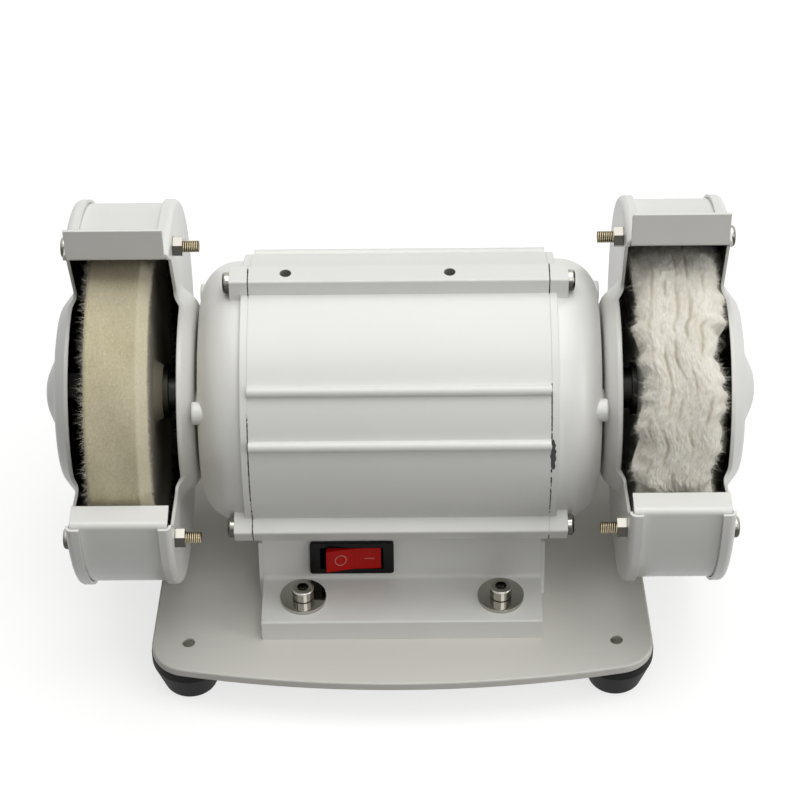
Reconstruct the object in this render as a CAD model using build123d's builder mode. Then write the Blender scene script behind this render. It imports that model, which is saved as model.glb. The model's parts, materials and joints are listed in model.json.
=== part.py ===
"""Double head polishing machine: a bench motor with a guarded wheel on each shaft end.

The shaft axis runs along X, the operator stands on the -Y side, Z is up.
The origin is on the floor, straight below the middle of the shaft. Lengths are millimetres.
"""
import os
from math import atan, cos, degrees, hypot, radians, sin, tan

from build123d import *

# Base plate and feet
foot_h = 17.5
foot_rim_r = 14.5
foot_rim_h = 4.0
foot_tip_r = 10.0
foot_tip_round = 2.5
foot_recess_r = 6.0
foot_recess_h = 9.0
plate_t = 3.5
plate_front_half = 98.0
plate_rear_half = 91.0
plate_side_y = 69.0
plate_bow_y = 79.6
plate_corner_r = 14.5
plate_hole_r = 2.5
plate_edge_round = 0.8
hole_edge_x = 14.2
foot_y = 57.2

# Shaft height and general clearances
shaft_rise = 80.0
screw_gap = 0.05
screw_end_gap = 0.8
seat_gap = 0.3
cut_over = 1.0

# Pedestal
flange_half = 56.0
wall_rise = 16.0
flange_round = 0.8
fold_round = 2.0
fold_y = 32.0
wall_lean = 12.0
wall_t = 3.0
rim_rise = 9.0
deck_t = 3.5
cap_t = 1.5
cap_lip = 4.0
pedestal_bolt_x = 38.5
pedestal_bolt_y = 43.0

# Motor housing
shell_half = 56.0
shell_r = 52.5
shell_bore_r = 46.5
ridge_w = 10.0
ridge_r = 58.5
ridge_round = 0.8
rib_w = 4.0
rib_r = 55.0
rib_spread = 11.3
pad_half = 20.0
pad_drop = 54.5
pad_screw_edge = 10.0
pad_screw_y = 12.0
pad_screw_depth = 7.0
top_hole_r = 2.1
top_hole_depth = 9.0
top_hole_left_x = -42.0
top_hole_right_x = 19.0

# End bells
bell_depth = 19.5
bell_flange_t = 2.7
bell_r = 50.0
bell_round = 14.5
bell_wall = 4.0
spigot_len = 5.0
spigot_wall = 3.0
spigot_gap = 0.1
ear_depth = 7.0
ear_screw_r = 54.2
hub_r = 18.0
hub_over = 2.0
boss_pcd_r = 24.5
boss_r = 4.7
boss_rise = 1.3
boss_len = 12.0
nub_pcd_r = 39.5
nub_r = 4.3
nub_rise = 1.8
nub_round = 0.8

# Ball bearings, shaft and rotor
bearing_bore_r = 6.0
bearing_r = 14.0
bearing_w = 8.0
race_t = 2.4
ball_count = 8
bearing_lip = 1.0
bearing_gap = 0.02
race_gap = 0.1
shaft_seat_r = 8.0
shaft_shoulder_r = 7.4
thread_r = 5.0
thread_over = 2.5
thread_chamfer = 0.8
rotor_half = 30.0
rotor_r = 24.6
rotor_ring_t = 6.0
rotor_ring_bore_r = 14.0
rotor_ring_step = 1.5
air_gap = 0.5
slot_count = 12
slot_w = 5.0
slot_depth = 12.0
winding_len = 13.0
winding_inner_r = 28.0
winding_outer_r = 42.0
winding_round = 4.0

# Wheels and their clamping flanges
wheel_set = 6.6
wheel_w = 24.9
wheel_room = 14.0
felt_bevel = 5.4
felt_edge = 0.8
arbor_gap = 0.05
flange_r = 22.0
flange_plate_t = 5.0
sleeve_r = 7.8
sleeve_gap = 0.7
shoulder_r = 10.5
shoulder_t = 2.0
nut_t = 8.0
nut_flats = 17.0
buff_core_r = 27.0
buff_flare_r = 40.0
buff_spread_in = 3.1
buff_spread_out = 3.0
buff_round = 6.0
pleat_count = 28
pleat_w = 2.4
pleat_depth = 1.6

# Wheel guards
guard_w = 39.0
guard_r = 74.0
sheet_t = 1.2
lip_w = 5.0
rim_round = 2.3
dish_top_r = 34.3
dish_base_r = 40.3
dish_depth = 7.2
dish_round = 7.0
dish_foot_round = 4.0
outer_dish_top_r = 32.5
outer_dish_base_r = 40.5
outer_dish_depth = 6.2
dome_top_r = 5.0
dome_base_r = 15.5
dome_base_depth = 8.2
dome_depth = 12.9
dome_round = 18.0
dome_foot_round = 5.0
shaft_hole_r = 18.0
band_t = 1.2
band_gap = 0.3
opening_half = 43.3
mouth_edge = 8.4
mouth_half = 49.0
mouth_lean = 27.0
mouth_round = 4.0
hub_edge = 2.0
visor_h = 15.3
ledge_w = 9.6
bend_r = 1.6
guard_bolt_edge = 9.0
guard_bolt_spread = 56.5
guard_bolt_tail = 6.0
guard_sides = (("left", -1, 41.5), ("right", 1, 45.7))

# Metric fasteners: shank radius, head radius, head height
m4_r, m4_head_r, m4_head_h = 2.0, 4.1, 2.6
m5_r, m5_head_r, m5_head_h = 2.5, 4.25, 5.0
m4_nut_flats, m4_nut_t = 7.0, 3.8
m5_nut_flats, m5_nut_t = 8.0, 4.0
socket_flats, socket_depth, head_round = 4.0, 2.8, 0.7
recess_w, recess_l, recess_depth = 0.9, 4.4, 1.3
washer_r, washer_t = 9.0, 1.5
thread_depth = 9.0
bolt_tail = 1.5

# Rocker switch
switch_x = -19.5
switch_up = 10.3
bezel_l, bezel_w, bezel_t = 32.8, 13.9, 2.0
bezel_round = 1.2
body_l, body_w, body_depth = 28.0, 12.2, 14.0
panel_gap = 0.15
window_l, window_w, window_depth = 24.6, 9.8, 9.0
rocker_l, rocker_gap = 21.6, 0.2
rocker_edge_h, rocker_mid_h, rocker_root, rocker_draft = 5.2, 4.2, 4.5, 2.0
pivot_depth = 2.0
pivot_r, pivot_len = 1.2, 0.5
rocker_tilt = 8.0
blade_l, blade_w, blade_t, blade_pitch = 7.0, 4.8, 0.8, 9.0

# Electrical parts in the pedestal
capacitor_l, capacitor_w, capacitor_h = 34.0, 20.0, 11.0
capacitor_x, capacitor_y, capacitor_round = 17.0, -8.0, 1.5
clip_w, clip_t, clip_foot = 10.0, 1.0, 7.0
block_l, block_w, block_h, block_x, block_y = 26.0, 11.0, 11.0, -20.0, 16.0
block_well_r, block_poles = 2.0, 3
gland_x, gland_up = 0.0, 6.8
gland_r, gland_hex, gland_hex_t, gland_dome_r, gland_dome_h = 4.0, 10.5, 4.0, 4.8, 7.0
gland_nut_t, gland_bore_r = 3.0, 2.8

# Derived heights and places
plate_top = foot_h + plate_t
axis_h = plate_top + shaft_rise
flange_t = shaft_rise - pad_drop - wall_rise
flange_top = plate_top + flange_t
deck_top = axis_h - pad_drop
deck_bottom = deck_top - deck_t
bell_face_x = shell_half + bell_depth
nub_face_x = bell_face_x + nub_rise
bearing_out_x = bell_face_x - bearing_lip
bearing_in_x = bearing_out_x - bearing_w
dish_face_x = bell_face_x + boss_rise
guard_inner_x = dish_face_x + dish_depth
guard_outer_x = guard_inner_x + guard_w
wheel_r = guard_r - wheel_room
wheel_inner_x = guard_inner_x + wheel_set
wheel_outer_x = wheel_inner_x + wheel_w
flange_outer_x = wheel_outer_x + flange_plate_t
thread_end_x = flange_outer_x + nut_t + thread_over
buff_inner_x = wheel_inner_x - buff_spread_in
buff_outer_x = wheel_outer_x + buff_spread_out
guard_bolt_pcd_r = guard_r - guard_bolt_edge
pedestal_half = shell_half - cap_t
pad_screw_x = shell_half - pad_screw_edge
band_inner_x = guard_inner_x + sheet_t + band_gap
band_outer_x = guard_outer_x - sheet_t - band_gap
band_outer_r = guard_r - sheet_t - band_gap
band_mid_r = band_outer_r - band_t / 2
lip_r = band_outer_r - band_t - band_gap
mouth_hub_r = dish_base_r - hub_edge
band_half = opening_half - degrees(atan((band_t / 2 + band_gap) / band_mid_r))
spin_axis = Axis((0, 0, axis_h), (1, 0, 0))
side_taper = (plate_front_half - plate_rear_half) / (2 * plate_side_y)
front_foot_x = plate_front_half - side_taper * (plate_side_y - foot_y) - hole_edge_x
rear_foot_x = plate_front_half - side_taper * (plate_side_y + foot_y) - hole_edge_x
foot_places = [
    (-front_foot_x, -foot_y),
    (front_foot_x, -foot_y),
    (-rear_foot_x, foot_y),
    (rear_foot_x, foot_y),
]
pedestal_places = [(sx * pedestal_bolt_x, sy * pedestal_bolt_y) for sx in (-1, 1) for sy in (-1, 1)]
pad_places = [(sx * pad_screw_x, sy * pad_screw_y) for sx in (-1, 1) for sy in (-1, 1)]


def end_plane(sx, x):
    """Plane square to the shaft, facing away from the middle, with local x pointing up."""
    return Plane(origin=(sx * x, 0, axis_h), x_dir=(0, 0, 1), z_dir=(sx, 0, 0))


def guard_plane(sx, x, opening):
    """Plane square to the shaft, facing outwards, with local x along the guard's opening."""
    forward = (0, -cos(radians(opening)), sin(radians(opening)))
    return Plane(origin=(sx * x, 0, axis_h), x_dir=forward, z_dir=(sx, 0, 0))


def radial_plane(sx):
    """Plane through the shaft axis: local x runs outwards, local y is the radius."""
    return Plane(origin=(0, 0, axis_h), x_dir=(sx, 0, 0), z_dir=(0, -sx, 0))


def wall_plane(sy, x, up):
    """Plane on the leaning pedestal wall: sy is -1 in front, +1 behind."""
    lean = radians(wall_lean)
    origin = (x, sy * (fold_y - up * sin(lean)), flange_top + up * cos(lean))
    return Plane(origin=origin, x_dir=(-sy, 0, 0), z_dir=(0, sy * cos(lean), sin(lean)))


def wall_outer(z):
    """Half width of the leaning pedestal wall at height z."""
    return fold_y - (z - flange_top) * tan(radians(wall_lean))


def wall_inner(z):
    """Half width of the space between the leaning pedestal walls at height z."""
    return wall_outer(z) - wall_t / cos(radians(wall_lean))


def at_fold(point):
    """True on the line where the pedestal's wall meets its flange."""
    return abs(abs(point.Y) - fold_y) < seat_gap and abs(point.Z - flange_top) < seat_gap


os.makedirs("parts", exist_ok=True)

# Base plate: bowed front and rear edges, sides drawn in towards the rear
with BuildPart() as base_plate:
    with BuildSketch(Plane.XY.offset(foot_h)) as plate_sketch:
        with BuildLine():
            ThreePointArc(
                (-plate_front_half, -plate_side_y), (0, -plate_bow_y), (plate_front_half, -plate_side_y)
            )
            Line((plate_front_half, -plate_side_y), (plate_rear_half, plate_side_y))
            ThreePointArc((plate_rear_half, plate_side_y), (0, plate_bow_y), (-plate_rear_half, plate_side_y))
            Line((-plate_rear_half, plate_side_y), (-plate_front_half, -plate_side_y))
        make_face()
        fillet(plate_sketch.vertices(), plate_corner_r)
        with Locations(*foot_places):
            Circle(plate_hole_r, mode=Mode.SUBTRACT)
        with Locations(*pedestal_places):
            Circle(m5_r + seat_gap, mode=Mode.SUBTRACT)
    extrude(amount=plate_t)
    fillet(base_plate.faces().sort_by(Axis.Z)[-1].outer_wire().edges(), plate_edge_round)
base_plate.part.label = "base_plate"
export_step(base_plate.part, "parts/base_plate.step")

# Rubber feet: rim, taper and a recess for the screw head
with BuildPart() as rubber_feet:
    for x, y in foot_places:
        with BuildSketch(Plane(origin=(x, y, 0), x_dir=(1, 0, 0), z_dir=(0, -1, 0))) as foot_sketch:
            Polygon(
                (m5_r + seat_gap, foot_recess_h),
                (foot_recess_r, foot_recess_h),
                (foot_recess_r, 0),
                (foot_tip_r, 0),
                (foot_rim_r, foot_h - foot_rim_h),
                (foot_rim_r, foot_h),
                (m5_r + seat_gap, foot_h),
                align=None,
            )
            tip = foot_sketch.vertices().group_by(Axis.Y)[0].sort_by(Axis.X)[-1]
            fillet(tip, foot_tip_round)
        revolve(axis=Axis((x, y, 0), (0, 0, 1)))
rubber_feet.part.label = "rubber_feet"
export_step(rubber_feet.part, "parts/rubber_feet.step")

# Foot screws: heads in the recesses, ends just under the plate's top
with BuildPart() as foot_screws:
    with BuildSketch(Plane.XY.offset(foot_recess_h - m4_head_h)):
        with Locations(*foot_places):
            Circle(m5_head_r)
    extrude(amount=m4_head_h)
    with BuildSketch(Plane.XY.offset(foot_recess_h)):
        with Locations(*foot_places):
            Circle(plate_hole_r - screw_gap)
    extrude(amount=foot_h + plate_t - foot_recess_h - screw_end_gap)
foot_screws.part.label = "foot_screws"
export_step(foot_screws.part, "parts/foot_screws.step")

# Pedestal: extruded section with side flanges, leaning walls, a deck and an open belly
with BuildPart() as pedestal:
    with BuildSketch(Plane(origin=(-pedestal_half, 0, 0), x_dir=(0, 1, 0), z_dir=(1, 0, 0))):
        wall_top = axis_h - shell_r + rim_rise
        Polygon(
            (-flange_half, plate_top),
            (flange_half, plate_top),
            (flange_half, flange_top),
            (fold_y, flange_top),
            (wall_outer(wall_top), wall_top),
            (-wall_outer(wall_top), wall_top),
            (-fold_y, flange_top),
            (-flange_half, flange_top),
            align=None,
        )
        Polygon(
            (-wall_inner(flange_top), plate_top),
            (wall_inner(flange_top), plate_top),
            (wall_inner(flange_top), flange_top),
            (wall_inner(deck_bottom), deck_bottom),
            (-wall_inner(deck_bottom), deck_bottom),
            (-wall_inner(flange_top), flange_top),
            align=None,
            mode=Mode.SUBTRACT,
        )
        Polygon(
            (-wall_inner(deck_top), deck_top),
            (wall_inner(deck_top), deck_top),
            (wall_inner(wall_top), wall_top),
            (-wall_inner(wall_top), wall_top),
            align=None,
            mode=Mode.SUBTRACT,
        )
        with Locations((0, axis_h)):
            Circle(shell_r + seat_gap, mode=Mode.SUBTRACT)
    extrude(amount=2 * pedestal_half)
    lip_edges = pedestal.edges().filter_by(Axis.X).group_by(Axis.Y)
    fillet([lip_edges[0].sort_by(Axis.Z)[-1], lip_edges[-1].sort_by(Axis.Z)[-1]], flange_round)
    fillet(pedestal.edges().filter_by(Axis.X).filter_by(lambda e: at_fold(e.center())), fold_round)
    with BuildSketch(Plane.XY.offset(plate_top)):
        with Locations(*pedestal_places):
            Circle(m5_r + seat_gap)
    extrude(amount=flange_t, mode=Mode.SUBTRACT)
    with BuildSketch(Plane.XY.offset(deck_bottom)):
        with Locations(*pad_places):
            Circle(m5_r + screw_gap)
        with Locations((switch_x, body_depth / 2 - wall_inner(deck_bottom))):
            Rectangle(body_l + 2 * cut_over, body_depth)
    extrude(amount=deck_t, mode=Mode.SUBTRACT)
    with BuildSketch(wall_plane(-1, switch_x, switch_up).offset(cut_over)):
        Rectangle(body_l + 2 * panel_gap, body_w + 2 * panel_gap)
    extrude(amount=-(wall_t + 2 * cut_over), mode=Mode.SUBTRACT)
    with BuildSketch(wall_plane(1, gland_x, gland_up).offset(cut_over)):
        Circle(gland_r + screw_gap)
    extrude(amount=-(wall_t + 2 * cut_over), mode=Mode.SUBTRACT)
pedestal.part.label = "pedestal"
export_step(pedestal.part, "parts/pedestal.step")

# End caps that close the pedestal's belly, with a lip pushed into the section
for side, sx in (("left", -1), ("right", 1)):
    with BuildPart() as end_cap:
        with BuildSketch(Plane(origin=(sx * pedestal_half, 0, 0), x_dir=(0, 1, 0), z_dir=(1, 0, 0))):
            Polygon(
                (-fold_y, plate_top),
                (fold_y, plate_top),
                (fold_y, flange_top),
                (wall_outer(deck_top), deck_top),
                (-wall_outer(deck_top), deck_top),
                (-fold_y, flange_top),
                align=None,
            )
        extrude(amount=sx * cap_t)
        with BuildSketch(Plane(origin=(sx * pedestal_half, 0, 0), x_dir=(0, 1, 0), z_dir=(1, 0, 0))) as lip:
            Polygon(
                (-wall_inner(flange_top) + seat_gap, plate_top),
                (wall_inner(flange_top) - seat_gap, plate_top),
                (wall_inner(flange_top) - seat_gap, flange_top),
                (wall_inner(deck_bottom) - seat_gap, deck_bottom - seat_gap),
                (-wall_inner(deck_bottom) + seat_gap, deck_bottom - seat_gap),
                (-wall_inner(flange_top) + seat_gap, flange_top),
                align=None,
            )
            offset(amount=-cap_t, mode=Mode.SUBTRACT)
        extrude(amount=-sx * cap_lip)
    end_cap.part.label = f"pedestal_end_cap_{side}"
    export_step(end_cap.part, f"parts/pedestal_end_cap_{side}.step")

# Socket-head bolts, washers and nuts that hold the pedestal to the plate
bolt_seat = flange_top + washer_t
with BuildPart() as pedestal_bolts:
    with BuildSketch(Plane.XY.offset(bolt_seat)):
        with Locations(*pedestal_places):
            Circle(m5_head_r)
    extrude(amount=m5_head_h)
    fillet(pedestal_bolts.faces().filter_by(Axis.Z).group_by(Axis.Z)[-1].edges(), head_round)
    with BuildSketch(Plane.XY.offset(foot_h - m5_nut_t - bolt_tail)):
        with Locations(*pedestal_places):
            Circle(m5_r)
    extrude(amount=bolt_seat - foot_h + m5_nut_t + bolt_tail)
    with BuildSketch(Plane.XY.offset(bolt_seat + m5_head_h)):
        with Locations(*pedestal_places):
            RegularPolygon(socket_flats / 2, 6, major_radius=False)
    extrude(amount=-socket_depth, mode=Mode.SUBTRACT)
pedestal_bolts.part.label = "pedestal_bolts"
export_step(pedestal_bolts.part, "parts/pedestal_bolts.step")

with BuildPart() as pedestal_washers:
    with BuildSketch(Plane.XY.offset(flange_top)):
        with Locations(*pedestal_places):
            Circle(washer_r)
            Circle(m5_r + seat_gap, mode=Mode.SUBTRACT)
    extrude(amount=washer_t)
pedestal_washers.part.label = "pedestal_washers"
export_step(pedestal_washers.part, "parts/pedestal_washers.step")

with BuildPart() as pedestal_nuts:
    with BuildSketch(Plane.XY.offset(foot_h - m5_nut_t)):
        with Locations(*pedestal_places):
            RegularPolygon(m5_nut_flats / 2, 6, major_radius=False)
            Circle(m5_r + screw_gap, mode=Mode.SUBTRACT)
    extrude(amount=m5_nut_t)
pedestal_nuts.part.label = "pedestal_nuts"
export_step(pedestal_nuts.part, "parts/pedestal_nuts.step")

# Motor housing: extruded shell with three ridges, two rib pairs and a flat belly pad
with BuildPart() as motor_housing:
    with BuildSketch(end_plane(1, -shell_half)):
        Circle(shell_r)
        with PolarLocations((shell_bore_r + ridge_r) / 2, 3):
            RectangleRounded(ridge_r - shell_bore_r, ridge_w, ridge_round)
        for rib_angle in (60, 300):
            with PolarLocations(rib_r - rib_w, 2, rib_angle - rib_spread, 4 * rib_spread):
                SlotOverall(2 * rib_w, rib_w)
        with Locations((-pad_drop / 2, 0)):
            Rectangle(pad_drop, 2 * pad_half)
        Circle(shell_bore_r, mode=Mode.SUBTRACT)
    extrude(amount=2 * shell_half)
    for sx in (-1, 1):
        with BuildSketch(end_plane(sx, shell_half)):
            with PolarLocations(ear_screw_r, 3):
                Circle(m4_r + screw_gap)
        extrude(amount=-thread_depth, mode=Mode.SUBTRACT)
    with BuildSketch(Plane.XY.offset(axis_h + ridge_r)):
        with Locations((top_hole_left_x, 0), (top_hole_right_x, 0)):
            Circle(top_hole_r)
    extrude(amount=-top_hole_depth, mode=Mode.SUBTRACT)
    with BuildSketch(Plane.XY.offset(deck_top)):
        with Locations(*pad_places):
            Circle(m5_r + screw_gap)
    extrude(amount=pad_screw_depth, mode=Mode.SUBTRACT)
motor_housing.part.label = "motor_housing"
export_step(motor_housing.part, "parts/motor_housing.step")

# Screws from the deck up into the housing's belly pad
with BuildPart() as housing_screws:
    with BuildSketch(Plane.XY.offset(deck_bottom - m4_head_h)):
        with Locations(*pad_places):
            Circle(m5_head_r)
    extrude(amount=m4_head_h)
    with BuildSketch(Plane.XY.offset(deck_bottom)):
        with Locations(*pad_places):
            Circle(m5_r)
    extrude(amount=deck_t + pad_screw_depth - screw_end_gap)
housing_screws.part.label = "housing_screws"
export_step(housing_screws.part, "parts/housing_screws.step")

# End bells: domed castings with a spigot, a bearing seat, screw ears, guard bosses and outer nubs
for side, sx in (("left", -1), ("right", 1)):
    arc_x = bell_face_x - bell_round
    arc_r = bell_r - bell_round
    inner_round = bell_round - bell_wall
    with BuildPart() as end_bell:
        with BuildSketch(radial_plane(sx)):
            with BuildLine():
                Polyline(
                    (arc_x, arc_r + inner_round),
                    (shell_half + bell_flange_t, shell_bore_r - spigot_gap - spigot_wall),
                    (shell_half - spigot_len, shell_bore_r - spigot_gap - spigot_wall),
                    (shell_half - spigot_len, shell_bore_r - spigot_gap),
                    (shell_half, shell_bore_r - spigot_gap),
                    (shell_half, shell_r),
                    (shell_half + bell_flange_t, shell_r),
                    (shell_half + bell_flange_t, bell_r),
                    (arc_x, bell_r),
                )
                RadiusArc((arc_x, bell_r), (bell_face_x, arc_r), bell_round)
                Polyline(
                    (bell_face_x, arc_r),
                    (bell_face_x, sleeve_r + sleeve_gap),
                    (bearing_out_x, sleeve_r + sleeve_gap),
                    (bearing_out_x, bearing_r),
                    (bearing_in_x - hub_over, bearing_r),
                    (bearing_in_x - hub_over, hub_r),
                    (bell_face_x - bell_wall, hub_r),
                    (bell_face_x - bell_wall, arc_r),
                )
                RadiusArc((bell_face_x - bell_wall, arc_r), (arc_x, arc_r + inner_round), -inner_round)
            make_face()
        revolve(axis=spin_axis)
        with BuildSketch(end_plane(sx, shell_half)):
            with PolarLocations((bell_r - bell_wall + ridge_r) / 2, 3):
                RectangleRounded(ridge_r - bell_r + bell_wall, ridge_w, ridge_round)
        extrude(amount=ear_depth)
        with BuildSketch(end_plane(sx, nub_face_x)):
            with PolarLocations(nub_pcd_r, 3, 60):
                Circle(nub_r)
        extrude(amount=-bell_round)
        nub_faces = end_bell.faces().filter_by(Axis.X).group_by(Axis.X)[-1 if sx > 0 else 0]
        fillet(nub_faces.edges(), nub_round)
        with BuildSketch(end_plane(sx, dish_face_x)):
            with PolarLocations(boss_pcd_r, 3, 60):
                Circle(boss_r)
        extrude(amount=-boss_len)
        with BuildSketch(end_plane(sx, shell_half)):
            with PolarLocations(ear_screw_r, 3):
                Circle(m4_r + screw_gap)
        extrude(amount=ear_depth, mode=Mode.SUBTRACT)
        with BuildSketch(end_plane(sx, dish_face_x)):
            with PolarLocations(boss_pcd_r, 3, 60):
                Circle(m4_r + screw_gap)
        extrude(amount=-boss_len, mode=Mode.SUBTRACT)
    end_bell.part.label = f"end_bell_{side}"
    export_step(end_bell.part, f"parts/end_bell_{side}.step")

    with BuildPart() as bell_screws:
        with BuildSketch(end_plane(sx, shell_half + ear_depth)):
            with PolarLocations(ear_screw_r, 3):
                Circle(m4_head_r)
        extrude(amount=m4_head_h)
        head_rims = bell_screws.faces().filter_by(Axis.X).group_by(Axis.X)[-1 if sx > 0 else 0]
        fillet(head_rims.edges(), m4_head_h / 2)
        with BuildSketch(end_plane(sx, shell_half + ear_depth)):
            with PolarLocations(ear_screw_r, 3):
                Circle(m4_r)
        extrude(amount=-(ear_depth + thread_depth - screw_end_gap))
        with BuildSketch(end_plane(sx, shell_half + ear_depth + m4_head_h)):
            with PolarLocations(ear_screw_r, 3):
                Rectangle(recess_l, recess_w)
                Rectangle(recess_w, recess_l)
        extrude(amount=-recess_depth, mode=Mode.SUBTRACT)
    bell_screws.part.label = f"end_bell_screws_{side}"
    export_step(bell_screws.part, f"parts/end_bell_screws_{side}.step")

# Stator: slotted ring of laminations and its two winding heads
with BuildPart() as stator_core:
    with BuildSketch(end_plane(1, -rotor_half)):
        Circle(shell_bore_r - bearing_gap)
        Circle(rotor_r + air_gap, mode=Mode.SUBTRACT)
        with PolarLocations(rotor_r + slot_depth / 2, slot_count):
            Rectangle(slot_depth, slot_w, mode=Mode.SUBTRACT)
    extrude(amount=2 * rotor_half)
stator_core.part.label = "stator_core"
export_step(stator_core.part, "parts/stator_core.step")

with BuildPart() as stator_windings:
    for sx in (-1, 1):
        with BuildSketch(end_plane(sx, rotor_half)):
            Circle(winding_outer_r)
            Circle(winding_inner_r, mode=Mode.SUBTRACT)
        extrude(amount=winding_len)
    ring_ends = stator_windings.faces().filter_by(Axis.X).group_by(Axis.X)
    fillet(ring_ends[0].edges() + ring_ends[-1].edges(), winding_round)
stator_windings.part.label = "stator_windings"
export_step(stator_windings.part, "parts/stator_windings.step")

# Rotor with its cast end rings
with BuildPart() as rotor_core:
    with BuildSketch(end_plane(1, -rotor_half)):
        Circle(rotor_r)
    extrude(amount=2 * rotor_half)
    for sx in (-1, 1):
        with BuildSketch(end_plane(sx, rotor_half)):
            Circle(rotor_r - rotor_ring_step)
            Circle(rotor_ring_bore_r, mode=Mode.SUBTRACT)
        extrude(amount=rotor_ring_t)
    with BuildSketch(end_plane(1, -rotor_half)):
        Circle(shaft_seat_r + bearing_gap)
    extrude(amount=2 * rotor_half, mode=Mode.SUBTRACT)
rotor_core.part.label = "rotor_core"
export_step(rotor_core.part, "parts/rotor_core.step")

# Shaft: rotor seat, bearing shoulders, wheel seats and threaded ends
with BuildPart() as motor_shaft:
    with BuildSketch(radial_plane(1)):
        Polygon(
            (-thread_end_x, 0),
            (-thread_end_x, thread_r),
            (-wheel_outer_x, thread_r),
            (-wheel_outer_x, bearing_bore_r - bearing_gap),
            (-bearing_in_x, bearing_bore_r - bearing_gap),
            (-bearing_in_x, shaft_shoulder_r),
            (-rotor_half, shaft_shoulder_r),
            (-rotor_half, shaft_seat_r),
            (rotor_half, shaft_seat_r),
            (rotor_half, shaft_shoulder_r),
            (bearing_in_x, shaft_shoulder_r),
            (bearing_in_x, bearing_bore_r - bearing_gap),
            (wheel_outer_x, bearing_bore_r - bearing_gap),
            (wheel_outer_x, thread_r),
            (thread_end_x, thread_r),
            (thread_end_x, 0),
            align=None,
        )
    revolve(axis=spin_axis)
    tips = motor_shaft.faces().filter_by(Axis.X).sort_by(Axis.X)
    chamfer(tips[0].edges() + tips[-1].edges(), thread_chamfer)
motor_shaft.part.label = "motor_shaft"
export_step(motor_shaft.part, "parts/motor_shaft.step")

# Ball bearings: outer races stay in the bells, inner races turn with the shaft
with BuildPart() as outer_races:
    for sx in (-1, 1):
        with BuildSketch(end_plane(sx, bearing_in_x)):
            Circle(bearing_r - bearing_gap)
            Circle(bearing_r - race_t, mode=Mode.SUBTRACT)
        extrude(amount=bearing_w)
outer_races.part.label = "bearing_outer_races"
export_step(outer_races.part, "parts/bearing_outer_races.step")

with BuildPart() as inner_races:
    for sx in (-1, 1):
        with BuildSketch(end_plane(sx, bearing_in_x)):
            Circle(bearing_bore_r + race_t)
            Circle(bearing_bore_r, mode=Mode.SUBTRACT)
        extrude(amount=bearing_w)
inner_races.part.label = "bearing_inner_races"
export_step(inner_races.part, "parts/bearing_inner_races.step")

ball_pcd_r = (bearing_r + bearing_bore_r) / 2
ball_r = (bearing_r - bearing_bore_r) / 2 - race_t - race_gap
with BuildPart() as bearing_balls:
    for sx in (-1, 1):
        for turn in range(ball_count):
            angle = radians(360 / ball_count * turn)
            ball_x = sx * (bearing_in_x + bearing_w / 2)
            with Locations((ball_x, ball_pcd_r * cos(angle), axis_h + ball_pcd_r * sin(angle))):
                Sphere(ball_r)
bearing_balls.part.label = "bearing_balls"
export_step(bearing_balls.part, "parts/bearing_balls.step")

# Mouth of both guard covers: a sector between the lips that stops at the round hub of the dish
with BuildSketch() as mouth:
    lip_x = lip_r * cos(radians(opening_half))
    lip_y = lip_r * sin(radians(opening_half))
    corner_x = (guard_r - mouth_edge) * cos(radians(mouth_half))
    corner_y = (guard_r - mouth_edge) * sin(radians(mouth_half))
    root_y = corner_y - corner_x * tan(radians(mouth_lean))
    Polygon(
        (0, -root_y),
        (corner_x, -corner_y),
        (lip_x, -lip_y),
        (2 * lip_x, -2 * lip_y),
        (2 * lip_x, 2 * lip_y),
        (lip_x, lip_y),
        (corner_x, corner_y),
        (0, root_y),
        align=None,
    )
    Circle(mouth_hub_r, mode=Mode.SUBTRACT)
    mouth_corners = mouth.vertices().filter_by(lambda v: hypot(v.X, v.Y) < lip_r - band_gap)
    fillet(mouth_corners, mouth_round)

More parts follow.
